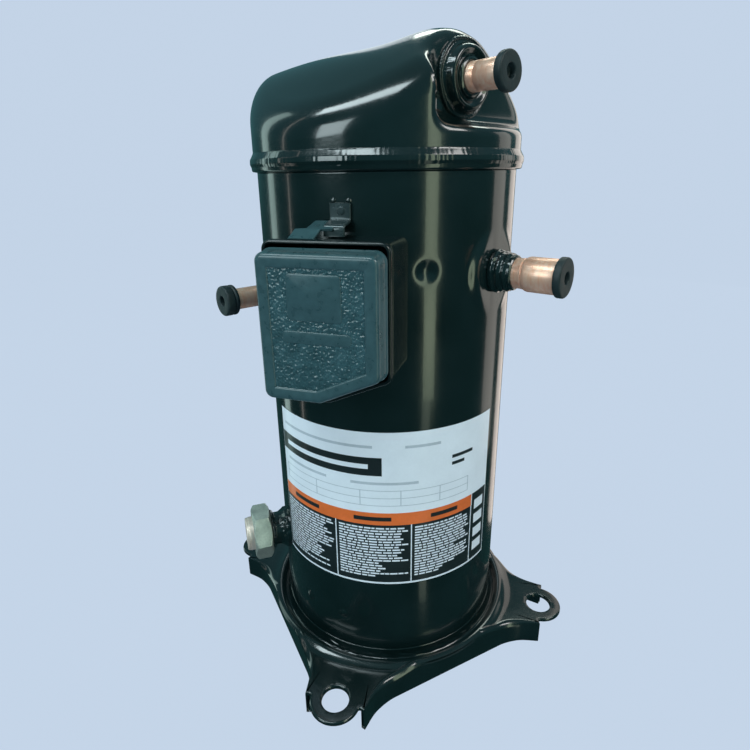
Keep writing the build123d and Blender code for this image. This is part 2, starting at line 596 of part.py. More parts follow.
def oil_pickup():
    """Paddle tube pressed on the shaft's foot, dipping in the oil."""
    low, high = PICKUP_Z
    outer, floor = LOWER_JOURNAL_R + PICKUP_WALL, SHAFT_FOOT - 4
    body = ring(outer, LOWER_JOURNAL_R, floor - 2, high) + ring(outer, OIL_BORE_R, low + 9, floor)
    body += disc(PICKUP_TUBE_R, low, low + 10)
    body += block(-PADDLE_HALF, PADDLE_HALF, -PADDLE_T / 2, PADDLE_T / 2, low - 2, low + 10)
    return body - disc(OIL_BORE_R, 0, SHAFT_FOOT - 1) - disc(LOWER_JOURNAL_R, SHAFT_FOOT, high + 4)


def lower_bearing_bracket():
    """Three-armed bracket for the lower bearing, welded to the shell."""
    body = disc(BRACKET_HUB_R, *BRACKET_Z)
    inside_shell = disc(BORE_R - 0.02, 20, 60)
    for k in range(3):
        arm = block(BRACKET_HUB_R / 2, BORE_R - 1, -ARM_HALF, ARM_HALF, *BRACKET_ARM_Z)
        pad = block(BORE_R - PAD_T, BORE_R + 2, -ARM_HALF, ARM_HALF, *BRACKET_PAD_Z) & inside_shell
        body += rotate_z(arm + pad, 120 * k + BRACKET_TURN)
    return body - disc(LOWER_JOURNAL_R + RUNNING + BUSH_T, 20, 60)


def bush(journal_r, z0, z1):
    """A plain bearing bush round a journal."""
    return ring(journal_r + RUNNING + BUSH_T, journal_r + RUNNING, z0, z1)


def main_bearing_housing():
    """Cast housing with the main bearing, the Oldham channel, four arms and four posts."""
    bore = SHAFT_R + RUNNING + BUSH_T
    body = disc(bore + HOUSING_WALL, *HOUSING_HUB_Z) + disc(HOUSING_DISC_R, HOUSING_DISC_LOW, THRUST_Z)
    inside_shell = disc(BORE_R - 0.02, HOUSING_HUB_Z[0], SLEEVE_Z)
    for az in STAKE_AZ:
        arm = block(HOUSING_DISC_R - 2.5, BORE_R + 2, -HOUSING_ARM_HALF, HOUSING_ARM_HALF, *HOUSING_ARM_Z)
        body += rotate_z(arm & inside_shell, az - 90)
    for az in POST_AZ:
        body += rotate_z(block(HOUSING_DISC_R - 4, POST_R + 6, -8, 8, POST_FOOT_Z, THRUST_Z), az - 90)
        post = polar(POST_R, az)
        body += disc(POST_BODY_R, POST_FOOT_Z, SLEEVE_Z, post.X, post.Y)
        body -= disc(SCREW_BORE_R, POST_FOOT_Z - 2, SLEEVE_Z + 1, post.X, post.Y)
    body -= ring(CHANNEL_R[1], CHANNEL_R[0], CHANNEL_Z, THRUST_Z + 1)
    half = KEY_W / 2 + ORBIT_R + 0.5
    for side in (-1, 1):
        x = side * KEY_R
        body -= block(x - KEY_ROOM, x + KEY_ROOM, -half, half, CHANNEL_Z - 6, CHANNEL_Z + 1)
    body -= disc(HUB_POCKET_R, CRANK_FACE_Z, THRUST_Z + 1)
    return body - disc(bore, HOUSING_HUB_Z[0] - 2, CRANK_FACE_Z + 11)


# ---- scroll set ----
def wrap(turn, z0, height):
    """A spiral wall of constant thickness: the strip between two involutes of one base circle."""
    def involute(shift):
        points = []
        for k in range(WRAP_POINTS + 1):
            t = WRAP_START + (WRAP_END - WRAP_START) * k / WRAP_POINTS
            x = math.cos(t) + (t - shift) * math.sin(t)
            y = math.sin(t) - (t - shift) * math.cos(t)
            points.append((BASE_CIRCLE * x, BASE_CIRCLE * y))
        return points
    half = WRAP_T / (2 * BASE_CIRCLE)
    outer, inner = Spline(*involute(-half)), Spline(*involute(half))
    ends = [Line(outer @ 1, inner @ 1), Line(outer @ 0, inner @ 0)]
    face = make_face(Curve() + [outer, inner] + ends)
    return Pos(0, 0, z0) * rotate_z(extrude(face, height), turn)


def orbiting_scroll():
    """Moving scroll: plate, spiral wrap above and bearing hub below, with two Oldham slots."""
    low = THRUST_Z + GAP
    body = disc(ORBIT_PLATE_R, low, low + ORBIT_PLATE_T) + disc(HUB_R, HUB_BOTTOM, low + 1)
    body += wrap(180, low + ORBIT_PLATE_T - 0.5, WRAP_H + 0.5)
    body -= disc(ORBIT_BUSH_R, HUB_BOTTOM - 1, low - 1)
    half = KEY_W / 2 + GAP
    for side in (-1, 1):
        y = side * KEY_R
        body -= block(-half, half, y - KEY_ROOM, y + KEY_ROOM, low - 1, low + 5)
    return Pos(ORBIT_R, 0, 0) * body


def oldham_ring():
    """Ring with two keys up into the moving scroll and two keys down into the housing."""
    low, high = CHANNEL_Z + GAP, THRUST_Z - 0.2
    body = ring(OLDHAM_R[1], OLDHAM_R[0], low, high)
    for side in (-1, 1):
        body += block(-KEY_W / 2, KEY_W / 2, side * KEY_R - 4, side * KEY_R + 4, high - 1, high + 4)
        body += block(side * KEY_R - 4, side * KEY_R + 4, -KEY_W / 2, KEY_W / 2, low - 4.5, low + 1)
    return Pos(ORBIT_R, 0, 0) * body


def non_orbiting_scroll():
    """Fixed scroll: plate with wrap below, discharge port, four ears and a seal groove on top."""
    plate_low = THRUST_Z + GAP + ORBIT_PLATE_T + WRAP_H + GAP
    top = plate_low + FIXED_PLATE_T
    body = disc(FIXED_PLATE_R, plate_low, top) + wrap(0, plate_low - WRAP_H, WRAP_H + 0.5)
    for az in POST_AZ:
        body += rotate_z(block(EAR_START, POST_R, -EAR_R, EAR_R, plate_low, plate_low + EAR_T), az - 90)
        post = polar(POST_R, az)
        body += disc(EAR_R, plate_low, plate_low + EAR_T, post.X, post.Y)
        body -= disc(SLEEVE_R + RUNNING, plate_low - 1, plate_low + EAR_T + 1, post.X, post.Y)
    body += ring(SEAL_R[1] + GROOVE_WALL, SEAL_R[1] + GAP, top - 1, top + GROOVE_H)
    body += ring(SEAL_R[0] - GAP, CHIMNEY_R, top - 1, top + GROOVE_H)
    body -= disc(PORT_R, plate_low - 1, top + 1)
    return body - disc(VALVE_R + VALVE_ROOM, top - VALVE_SINK, top + 1)


def fixed_top():
    """Level of the fixed scroll's upper plate face."""
    return THRUST_Z + GAP + ORBIT_PLATE_T + WRAP_H + GAP + FIXED_PLATE_T


def floating_seal():
    """Ring that floats in the fixed scroll's groove and seals against the partition."""
    top = fixed_top()
    body = ring(SEAL_R[1], SEAL_R[0], top + GAP, top + SEAL_H)
    return body + ring(LIP_R[1], LIP_R[0], top + SEAL_H - 1, RIM_TOP + 5 - SEAL_LIFT - 0.1)


def discharge_valve():
    """Disc valve over the discharge port."""
    low = fixed_top() - VALVE_SINK
    return disc(VALVE_R, low, low + VALVE_T)


def valve_retainer():
    """Perforated stop above the discharge valve."""
    top = fixed_top()
    body = disc(RETAINER_R, top, top + RETAINER_T)
    for k in range(RETAINER_HOLES):
        hole = polar(RETAINER_CIRCLE_R, 360 / RETAINER_HOLES * k)
        body -= disc(RETAINER_HOLE_R, top - 1, top + RETAINER_T + 1, hole.X, hole.Y)
    return body


def scroll_bolts():
    """Four shouldered screws that hold the sleeves on the posts."""
    bolts = []
    for az in POST_AZ:
        p = polar(POST_R, az)
        top = SLEEVE_Z + SLEEVE_H
        body = disc(SCREW_R, SCREW_LOW, top, p.X, p.Y)
        body += disc(SCREW_HEAD_R, top, top + SCREW_HEAD_T, p.X, p.Y)
        socket = Pos(p.X, p.Y, top + SCREW_HEAD_T / 2) * extrude(RegularPolygon(SCREW_SOCKET, 6), SCREW_HEAD_T)
        bolts.append(body - socket)
    return group(bolts)


def scroll_sleeves():
    """Four guide sleeves on which the fixed scroll can lift a little."""
    sleeves = []
    for az in POST_AZ:
        p = polar(POST_R, az)
        sleeves.append(ring(SLEEVE_R, SCREW_BORE_R, SLEEVE_Z, SLEEVE_Z + SLEEVE_H, p.X, p.Y))
    return group(sleeves)


def suction_baffle():
    """Bent sheet inside the shell that turns the incoming gas."""
    low, high = SUCTION_Z - BAFFLE_DROP[0], SUCTION_Z - BAFFLE_DROP[1]
    outer = BORE_R - 0.1
    slice_az = SUCTION_AZ - BAFFLE_HALF_AZ, SUCTION_AZ + BAFFLE_HALF_AZ
    return ring(outer, outer - BAFFLE_T, low, high) & sector(BORE_R + 5, *slice_az, low, high)


def oil_magnet():
    """Round magnet on the sump's floor that catches metal dust."""
    spot = polar(MAGNET_AT, MAGNET_AZ)
    floor = SHELL_BOTTOM - BOWL_R + WALL
    return disc(MAGNET_R, floor, floor + MAGNET_T, spot.X, spot.Y)


def motor_protector():
    """Overload protector tied on the upper end turns."""
    p = polar(PROTECTOR_AT, PROTECTOR_AZ)
    middle = CORE_Z[1] + COIL_RISE + 0.6 + PROTECTOR_SIZE[2] / 2
    body = Pos(p.X, p.Y, middle) * Rot(0, 0, PROTECTOR_AZ) * Box(*PROTECTOR_SIZE)
    return fillet(body.edges().filter_by(Axis.Z), 3)


def discharge_plug():
    """Plug of the discharge stub."""
    stem = DISCHARGE_BORE_R + MOUTH_STEP - RUNNING
    return plug(DISCHARGE_PLUG_R, DISCHARGE_PLUG_T, stem, DISCHARGE_TIP, DISCHARGE_AZ, DISCHARGE_Z)


def suction_plug():
    """Plug of the suction stub."""
    stem = SUCTION_BORE_R + MOUTH_STEP - RUNNING
    return plug(SUCTION_PLUG_R, SUCTION_PLUG_T, stem, SUCTION_TIP, SUCTION_AZ, SUCTION_Z)


def injection_plug():
    """Plug of the injection stub."""
    stem = INJECTION_BORE_R + MOUTH_STEP - RUNNING
    return plug(INJECTION_PLUG_R, INJECTION_PLUG_T, stem, INJECTION_TIP, INJECTION_AZ, INJECTION_Z)


def drive_bushing():
    """Bushing on the crank pin."""
    return ring(ORBIT_JOURNAL_R, PIN_JOURNAL_R, HUB_BOTTOM + 1, PIN_TOP - 0.5, ORBIT_R)


def orbiting_bearing():
    """Bearing shell in the moving scroll's hub."""
    return ring(ORBIT_BUSH_R, ORBIT_JOURNAL_R + RUNNING, HUB_BOTTOM, THRUST_Z - 1.5, ORBIT_R)


# ---- write the parts ----
PARTS = {
    "base_plate": base_plate,
    "lower_cap": lower_cap,
    "shell_body": shell_body,
    "partition_plate": partition_plate,
    "top_cap": top_cap,
    "discharge_fitting": discharge_fitting,
    "discharge_stub": discharge_stub,
    "suction_collar": suction_collar,
    "suction_stub": suction_stub,
    "injection_collar": injection_collar,
    "injection_stub": injection_stub,
    "oil_fitting_boss": oil_fitting_boss,
    "terminal_box_base": terminal_box_base,
    "terminal_gasket": terminal_gasket,
    "terminal_body": terminal_body,
    "terminal_glass": terminal_glass,
    "terminal_pins": terminal_pins,
    "cover_strap": cover_strap,
    "nameplate": nameplate,
    "stator_core": stator_core,
    "windings": windings,
    "main_bearing_housing": main_bearing_housing,
    "main_bearing_bush": lambda: bush(SHAFT_R, *MAIN_BUSH_Z),
    "lower_bearing_bracket": lower_bearing_bracket,
    "lower_bearing_bush": lambda: bush(LOWER_JOURNAL_R, *LOWER_BUSH_Z),
    "scroll_bolts": scroll_bolts,
    "scroll_sleeves": scroll_sleeves,
    "suction_baffle": suction_baffle,
    "oil_magnet": oil_magnet,
    "motor_protector": motor_protector,
    "crankshaft": crankshaft,
    "rotor_core": rotor_core,
    "rotor_end_rings": rotor_end_rings,
    "upper_counterweight": lambda: half_weight(*UPPER_WEIGHT_Z, UPPER_WEIGHT_R, UPPER_WEIGHT_TURN),
    "lower_counterweight": lambda: half_weight(*LOWER_WEIGHT_Z, LOWER_WEIGHT_R, LOWER_WEIGHT_TURN),
    "oil_pickup": oil_pickup,
    "drive_bushing": drive_bushing,
    "orbiting_scroll": orbiting_scroll,
    "orbiting_bearing": orbiting_bearing,
    "oldham_ring": oldham_ring,
    "non_orbiting_scroll": non_orbiting_scroll,
    "valve_retainer": valve_retainer,
    "discharge_valve": discharge_valve,
    "floating_seal": floating_seal,
    "terminal_cover": terminal_cover,
    "discharge_plug": discharge_plug,
    "suction_plug": suction_plug,
    "injection_plug": injection_plug,
    "rotalock_nut": rotalock_nut,
    "blanking_cap": blanking_cap,
}

os.makedirs("parts", exist_ok=True)
for name, make in PARTS.items():
    export_step(make(), f"parts/{name}.step")
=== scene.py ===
import json
import math

import bmesh
import bpy
import numpy as np
from mathutils import Matrix, Vector


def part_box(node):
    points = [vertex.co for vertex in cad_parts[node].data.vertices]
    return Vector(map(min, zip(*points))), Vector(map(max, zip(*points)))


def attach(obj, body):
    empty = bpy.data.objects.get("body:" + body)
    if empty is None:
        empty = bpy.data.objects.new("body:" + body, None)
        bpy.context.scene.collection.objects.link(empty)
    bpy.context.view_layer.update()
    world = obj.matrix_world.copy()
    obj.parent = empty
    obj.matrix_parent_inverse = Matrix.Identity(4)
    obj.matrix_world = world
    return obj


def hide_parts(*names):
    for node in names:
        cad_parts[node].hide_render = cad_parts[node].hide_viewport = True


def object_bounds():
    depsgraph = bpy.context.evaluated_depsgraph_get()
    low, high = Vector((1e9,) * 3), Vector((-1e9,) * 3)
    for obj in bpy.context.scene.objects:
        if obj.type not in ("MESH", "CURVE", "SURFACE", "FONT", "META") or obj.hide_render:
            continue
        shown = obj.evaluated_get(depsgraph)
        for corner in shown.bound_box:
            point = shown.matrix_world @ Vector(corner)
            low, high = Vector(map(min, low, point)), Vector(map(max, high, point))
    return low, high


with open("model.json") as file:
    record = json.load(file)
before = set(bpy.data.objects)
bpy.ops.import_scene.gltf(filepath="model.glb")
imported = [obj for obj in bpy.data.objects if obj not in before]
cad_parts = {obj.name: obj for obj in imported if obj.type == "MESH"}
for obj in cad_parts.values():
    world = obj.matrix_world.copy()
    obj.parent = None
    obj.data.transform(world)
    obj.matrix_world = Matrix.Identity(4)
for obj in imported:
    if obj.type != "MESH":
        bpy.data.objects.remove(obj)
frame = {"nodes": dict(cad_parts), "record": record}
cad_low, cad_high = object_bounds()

# Outlines, distances and radii below are in millimetres, and pieces are scaled to metres as they are made.
# An azimuth is an angle about Z in degrees, from -Y towards +X.
# A fitting's outline is (radius, distance from Z).
MM = 0.001


# ---- shader helpers ----
def new_material(name):
    """A node material; returns (material, tree, shader)."""
    material = bpy.data.materials.new(name)
    material.use_nodes = True
    tree = material.node_tree
    return material, tree, tree.nodes["Principled BSDF"]


def add(tree, kind, values=None, **settings):
    """A node with its settings and unlinked input values."""
    node = tree.nodes.new(kind)
    for key, value in settings.items():
        setattr(node, key, value)
    for key, value in (values or {}).items():
        node.inputs[key].default_value = value
    return node


def link(tree, source, output, target, socket):
    """Joins two nodes."""
    tree.links.new(source.outputs[output], target.inputs[socket])


def noise(tree, scale, detail=4.0, rough=0.55, stretch=(1, 1, 1)):
    """Noise in object coordinates; scale is in features per metre."""
    place = add(tree, "ShaderNodeTexCoord")
    mapping = add(tree, "ShaderNodeMapping", {"Scale": stretch})
    link(tree, place, "Object", mapping, "Vector")
    texture = add(tree, "ShaderNodeTexNoise", {"Scale": scale, "Detail": detail, "Roughness": rough})
    link(tree, mapping, "Vector", texture, "Vector")
    return texture


def ramp(tree, source, output, stops):
    """A colour ramp over (position, colour) stops."""
    node = add(tree, "ShaderNodeValToRGB")
    elements = node.color_ramp.elements
    while len(elements) < len(stops):
        elements.new(0.5)
    for element, (position, color) in zip(elements, stops):
        element.position = position
        element.color = (*color, 1)
    link(tree, source, output, node, "Fac")
    return node


def grey(value):
    """A grey colour."""
    return (value, value, value)


def blend(tree, first, second, factor=None, kind="MULTIPLY"):
    """Mixes two colour nodes, by a third node's value or all the way."""
    mix = add(tree, "ShaderNodeMix", {"Factor": 1.0}, data_type="RGBA", blend_type=kind)
    tree.links.new(first, mix.inputs[6])
    tree.links.new(second, mix.inputs[7])
    if factor is not None:
        tree.links.new(factor, mix.inputs["Factor"])
    return mix.outputs[2]


def bumps(tree, shader, layers):
    """Chains bump nodes: (texture node, output, strength, distance in mm)."""
    last = None
    for source, output, strength, distance in layers:
        bump = add(tree, "ShaderNodeBump", {"Strength": strength, "Distance": distance * MM})
        link(tree, source, output, bump, "Height")
        if last is not None:
            link(tree, last, "Normal", bump, "Normal")
        last = bump
    link(tree, last, "Normal", shader, "Normal")


def finish(name, base, spread, metallic, rough, grain, bump, coat=0.0, dust=None, stretch=(1, 1, 1)):
    """A general finish: two scales of colour noise, roughness noise, fine bump and optional dust."""
    material, tree, shader = new_material(name)
    broad = noise(tree, grain * 0.12, 3)
    fine = noise(tree, grain, 6, 0.6, stretch)
    low = tuple(c * (1 - spread) for c in base)
    high = tuple(min(1.0, c * (1 + spread)) for c in base)
    tone = ramp(tree, broad, "Fac", [(0.3, low), (0.7, high)])
    shade = ramp(tree, fine, "Fac", [(0.3, grey(1 - spread)), (0.7, grey(1.0))])
    color = blend(tree, tone.outputs["Color"], shade.outputs["Color"])
    if dust is not None:
        specks = noise(tree, grain * 0.9, 8, 0.75)
        where = ramp(tree, specks, "Fac", [(0.66, grey(0.0)), (0.74, grey(0.6))])
        settled = ramp(tree, broad, "Fac", [(0.2, dust), (0.8, tuple(c * 0.7 for c in dust))])
        color = blend(tree, color, settled.outputs["Color"], where.outputs["Color"], "MIX")
    tree.links.new(color, shader.inputs["Base Color"])
    shader.inputs["Metallic"].default_value = metallic
    roughness = ramp(tree, broad, "Fac", [(0.25, grey(rough[0])), (0.75, grey(rough[1]))])
    link(tree, roughness, "Color", shader, "Roughness")
    shader.inputs["Coat Weight"].default_value = coat
    shader.inputs["Coat Roughness"].default_value = 0.05
    bumps(tree, shader, [(fine, "Fac", 0.5, bump), (broad, "Fac", 0.4, bump * 3)])
    return material


def enamel():
    """Thick black gloss enamel: orange peel, faint dust, and patches of duller and shinier paint."""
    material, tree, shader = new_material("black_enamel")
    patch, peel, fine = noise(tree, 22, 4), noise(tree, 260, 3, 0.5), noise(tree, 1400, 5)
    tone = ramp(tree, patch, "Fac", [(0.3, (0.0030, 0.009, 0.009)), (0.7, (0.005, 0.014, 0.015))])
    specks = noise(tree, 900, 9, 0.8)
    where = ramp(tree, specks, "Fac", [(0.71, grey(0.0)), (0.80, grey(0.14))])
    settled = ramp(tree, fine, "Fac", [(0.3, (0.16, 0.15, 0.13)), (0.7, (0.28, 0.28, 0.27))])
    color = blend(tree, tone.outputs["Color"], settled.outputs["Color"], where.outputs["Color"], "MIX")
    tree.links.new(color, shader.inputs["Base Color"])
    gloss = ramp(tree, patch, "Fac", [(0.25, grey(0.10)), (0.75, grey(0.22))])
    link(tree, gloss, "Color", shader, "Roughness")
    shader.inputs["IOR"].default_value = 1.55
    shader.inputs["Coat Weight"].default_value = 0.5
    shader.inputs["Coat Roughness"].default_value = 0.05
    bumps(tree, shader, [(peel, "Fac", 0.6, 0.06), (fine, "Fac", 0.5, 0.022)])
    return material


def copper(name, base, stain):
    """Drawn copper: fine lines round the tube, rosy patches and dull stains."""
    material, tree, shader = new_material(name)
    drawn, patch, fine = noise(tree, 500, 6, 0.7, (1, 1, 0.15)), noise(tree, 90, 5), noise(tree, 1600, 5)
    tone = ramp(tree, patch, "Fac", [(0.3, base), (0.72, tuple(min(1, c * 1.18) for c in base))])
    dull = ramp(tree, drawn, "Fac", [(0.35, stain), (0.6, grey(1.0))])
    tree.links.new(blend(tree, tone.outputs["Color"], dull.outputs["Color"]), shader.inputs["Base Color"])
    shader.inputs["Metallic"].default_value = 0.55
    gloss = ramp(tree, patch, "Fac", [(0.3, grey(0.30)), (0.7, grey(0.44))])
    link(tree, gloss, "Color", shader, "Roughness")
    bumps(tree, shader, [(drawn, "Fac", 0.3, 0.02), (fine, "Fac", 0.3, 0.01)])
    return material


# Base colour, its spread, metallic, roughness range, grain per metre, bump in mm, coat, dust, stretch.
FINISHES = {
    "box_plastic": ((0.036, 0.088, 0.100), 0.16, 0.0, (0.24, 0.36), 1500, 0.03, 0.25, (0.20, 0.22, 0.22)),
    "tray_plastic": ((0.004, 0.009, 0.010), 0.2, 0.0, (0.16, 0.26), 1500, 0.01, 0.3, (0.010, 0.018, 0.020)),
    "pebbled": ((0.036, 0.095, 0.110), 0.25, 0.0, (0.20, 0.30), 1100, 0.10, 0.4, (0.26, 0.32, 0.32)),
    "foam": ((0.03, 0.03, 0.03), 0.3, 0.0, (0.8, 0.95), 2500, 0.1),
    "steel": ((0.55, 0.55, 0.54), 0.1, 1.0, (0.25, 0.40), 1200, 0.01),
    "strap_steel": ((0.030, 0.050, 0.054), 0.25, 0.3, (0.18, 0.32), 900, 0.05, 0.4, (0.30, 0.32, 0.32)),
    "terminal_glass": ((0.10, 0.16, 0.10), 0.1, 0.0, (0.05, 0.15), 900, 0.01),
    "label": ((0.80, 0.85, 0.90), 0.03, 0.0, (0.28, 0.40), 500, 0.01, 0.2),
    "label_black": ((0.012, 0.020, 0.022), 0.15, 0.0, (0.28, 0.40), 500, 0.01, 0.2),
    "label_orange": ((0.82, 0.16, 0.025), 0.08, 0.0, (0.28, 0.40), 500, 0.01, 0.2),
    "label_grey": ((0.50, 0.56, 0.61), 0.08, 0.0, (0.28, 0.40), 500, 0.01, 0.2),
    "lamination": ((0.25, 0.25, 0.28), 0.15, 0.8, (0.35, 0.5), 1800, 0.05, 0, None, (0.2, 0.2, 6)),
    "winding_copper": ((0.50, 0.17, 0.06), 0.25, 0.4, (0.25, 0.40), 1200, 0.1),
    "cast_iron": ((0.22, 0.22, 0.22), 0.2, 0.8, (0.40, 0.60), 1500, 0.05),
    "bronze": ((0.60, 0.40, 0.18), 0.15, 0.9, (0.25, 0.40), 1200, 0.02),
    "pressed_steel": ((0.42, 0.42, 0.42), 0.15, 0.9, (0.30, 0.45), 1000, 0.02),
    "machined_steel": ((0.60, 0.60, 0.60), 0.1, 1.0, (0.20, 0.32), 1500, 0.01, 0, None, (1, 1, 8)),
    "cast_aluminium": ((0.70, 0.71, 0.72), 0.1, 1.0, (0.40, 0.55), 1800, 0.04),
    "magnet": ((0.06, 0.06, 0.06), 0.2, 0.1, (0.5, 0.7), 1500, 0.03),
    "rubber": ((0.010, 0.024, 0.027), 0.35, 0.0, (0.42, 0.60), 1200, 0.06, 0.0, (0.06, 0.09, 0.09)),
    "zinc_steel": ((0.60, 0.64, 0.57), 0.18, 0.75, (0.30, 0.46), 700, 0.05, 0.0, (0.34, 0.35, 0.30)),
}
MATERIALS = {name: finish(name, *values) for name, values in FINISHES.items()}
MATERIALS["black_enamel"] = enamel()
MATERIALS["copper"] = copper("copper", (0.98, 0.59, 0.45), (0.94, 0.74, 0.62))
MATERIALS["pale_copper"] = copper("pale_copper", (0.80, 0.68, 0.60), (0.85, 0.80, 0.76))


def paint_nodes():
    """Gives every CAD node the material of its slot."""
    slots = {row["node"]: row["material_slot"] for row in frame["record"]["subparts"]}
    for name, obj in frame["nodes"].items():
        obj.data.materials.clear()
        obj.data.materials.append(MATERIALS[slots[name]])


# ---- sizes read from the frame, in millimetres ----
def low(node):
    """Lowest corner of a node."""
    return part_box(node)[0] / MM


def high(node):
    """Highest corner of a node."""
    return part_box(node)[1] / MM


def port(name):
    """Azimuth and height of a radial mount."""
    mount = next(m for m in frame["record"]["mounts"] if m["name"] == name)
    x, y, _ = mount["axis"]
    return math.degrees(math.atan2(x, -y)), mount["pos_m"][2] / MM


def polar(r, az, z=0.0):
    """A point at a radius and azimuth."""
    a = math.radians(az)
    return Vector((r * math.sin(a), -r * math.cos(a), z))


def reach(node, az, sign=1):
    """Furthest distance from Z of a node along an azimuth; with sign -1, the nearest."""
    out = polar(1, az)
    return max(sign * v.co.dot(out) for v in frame["nodes"][node].data.vertices) * sign / MM


SHELL_R = high("lower_cap").x
SHELL_TOP = high("shell_body").z
CAP_R, CAP_LOW = high("top_cap").x, low("top_cap").z
SEAM_R = high("partition_plate").x
WALL = 3.5
DISCHARGE, SUCTION, INJECTION = (port(f"{name}_port") for name in ("discharge", "suction", "injection"))
NUT_MIDDLE = (low("rotalock_nut") + high("rotalock_nut")) / 2
UNION = math.degrees(math.atan2(NUT_MIDDLE.x, -NUT_MIDDLE.y)), NUT_MIDDLE.z
DISCHARGE_TIP = reach("discharge_stub", DISCHARGE[0])
SUCTION_TIP = reach("suction_stub", SUCTION[0])
INJECTION_TIP = reach("injection_stub", INJECTION[0])
TERMINAL_Z = (low("terminal_gasket").z + high("terminal_gasket").z) / 2
TERMINAL_R = 17
GASKET_R = (high("terminal_gasket").z - low("terminal_gasket").z) / 2
STAKE_AZ, STAKE_Z = (32, 122, 212, 302), 299.8
POCKET_D = 68
PLATE_TOP, SKIRT_LOW = high("base_plate").z, low("base_plate").z
PLATE_T = 3


# ---- mesh helpers ----
def out_frame(az, z):
    """Matrix whose Z points out along an azimuth, X runs level and Y up."""
    a = math.radians(az)
    return Matrix((
        (math.cos(a), 0, math.sin(a), 0), (math.sin(a), 0, -math.cos(a), 0), (0, 1, 0, z), (0, 0, 0, 1),
    ))


def piece(name, shape, nodes=(), material="black_enamel", body="housing", place=None, smooth=40):
    """Makes a mesh piece from (points, faces) in millimetres, hangs it under its body and hides the CAD nodes
    it stands in for.
    """
    verts, faces = shape
    mesh = bpy.data.meshes.new(name)
    mesh.from_pydata([tuple(v) for v in verts], [], [tuple(f) for f in faces])
    if place is not None:
        mesh.transform(place)
    mesh.transform(Matrix.Scale(MM, 4))
    tidy(mesh)
    obj = bpy.data.objects.new(name, mesh)
    bpy.context.scene.collection.objects.link(obj)
    mesh.materials.append(MATERIALS[material])
    shade(obj, smooth)
    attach(obj, body)
    if nodes:
        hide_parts(*nodes)
    return obj


def tidy(mesh):
    """Merges doubled points, drops stray edges and turns every face outwards."""
    work = bmesh.new()
    work.from_mesh(mesh)
    bmesh.ops.remove_doubles(work, verts=work.verts, dist=0.002 * MM)
    bmesh.ops.dissolve_degenerate(work, edges=work.edges, dist=0.001 * MM)
    bmesh.ops.delete(work, geom=[e for e in work.edges if not e.link_faces], context="EDGES")
    bmesh.ops.recalc_face_normals(work, faces=work.faces)
    work.to_mesh(mesh)
    work.free()


def shade(obj, smooth):
    """Smooth shading with sharp edges over an angle."""
    for face in obj.data.polygons:
        face.use_smooth = True
    obj.data.set_sharp_from_angle(angle=math.radians(smooth))


def apply_modifier(obj, kind, **settings):
    """Adds a modifier and applies it."""
    mod = obj.modifiers.new("step", kind)
    for key, value in settings.items():
        setattr(mod, key, value)
    bpy.context.view_layer.update()
    with bpy.context.temp_override(object=obj, active_object=obj):
        bpy.ops.object.modifier_apply(modifier=mod.name)


def thicken(obj, depth):
    """Gives an open surface its sheet thickness, inwards."""
    apply_modifier(obj, "SOLIDIFY", thickness=depth * MM, offset=-1)


def join(*shapes):
    """Several (points, faces) shapes as one."""
    verts, faces = [], []
    for more_verts, more_faces in shapes:
        start = len(verts)
        verts.extend(more_verts)
        faces.extend(tuple(i + start for i in face) for face in more_faces)
    return verts, faces


def soft(points, radii, steps=5):
    """A closed outline with its corners rounded; radii is one number or one for each corner."""
    count = len(points)
    if isinstance(radii, (int, float)):
        radii = [radii] * count
    out = []
    for i, radius in enumerate(radii):
        corner = np.array(points[i], float)
        if radius == 0:
            out.append(tuple(corner))
            continue
        back, ahead = np.array(points[i - 1]) - corner, np.array(points[(i + 1) % count]) - corner
        back_len, ahead_len = np.linalg.norm(back), np.linalg.norm(ahead)
        back, ahead = back / back_len, ahead / ahead_len
        half = 0.5 * math.acos(max(-0.9999, min(0.9999, float(back @ ahead))))
        cut = min(radius / math.tan(half), 0.49 * back_len, 0.49 * ahead_len)
        middle = (back + ahead) / np.linalg.norm(back + ahead)
        centre = corner + middle * cut / math.cos(half)
        start, end = corner + back * cut - centre, corner + ahead * cut - centre
        first = math.atan2(start[1], start[0])
        turn = (math.atan2(end[1], end[0]) - first + math.pi) % (2 * math.pi) - math.pi
        size = np.linalg.norm(start)
        for k in range(steps + 1):
            angle = first + turn * k / steps
            out.append((centre[0] + size * math.cos(angle), centre[1] + size * math.sin(angle)))
    return out


def lathe(outline, steps=96, wobble=None):
    """A closed (radius, height) outline turned about Z; wobble(angle, radius, height) moves it outwards."""
    verts, faces = [], []
    rows = len(outline)
    for i in range(steps):
        angle = 2 * math.pi * i / steps
        for r, z in outline:
            grown = r + (wobble(angle, r, z) if wobble else 0.0)
            verts.append((grown * math.sin(angle), -grown * math.cos(angle), z))
    for i in range(steps):
        for j in range(rows):
            a, b = i * rows + j, i * rows + (j + 1) % rows
            c, d = ((i + 1) % steps) * rows + (j + 1) % rows, ((i + 1) % steps) * rows + j
            faces.append((a, b, c, d))
    return verts, faces


def grid(points, wrap=True, close_rows=False):
    """Faces of a (rows, columns, 3) array of points; wrap joins the last column to the first."""
    points = np.asarray(points, float)
    rows, columns = points.shape[:2]
    faces = []
    last_row, last_column = rows if close_rows else rows - 1, columns if wrap else columns - 1
    for i in range(last_row):
        for j in range(last_column):
            n, k = (i + 1) % rows, (j + 1) % columns
            faces.append((i * columns + j, i * columns + k, n * columns + k, n * columns + j))
    return points.reshape(-1, 3), faces


def capped(rows):
    """A loft over closed loops of points, with its first and last loops filled."""
    verts, faces = grid(rows)
    count, last = len(rows[0]), len(verts) - len(rows[0])
    return verts, faces + [tuple(range(count)), tuple(last + i for i in range(count))]


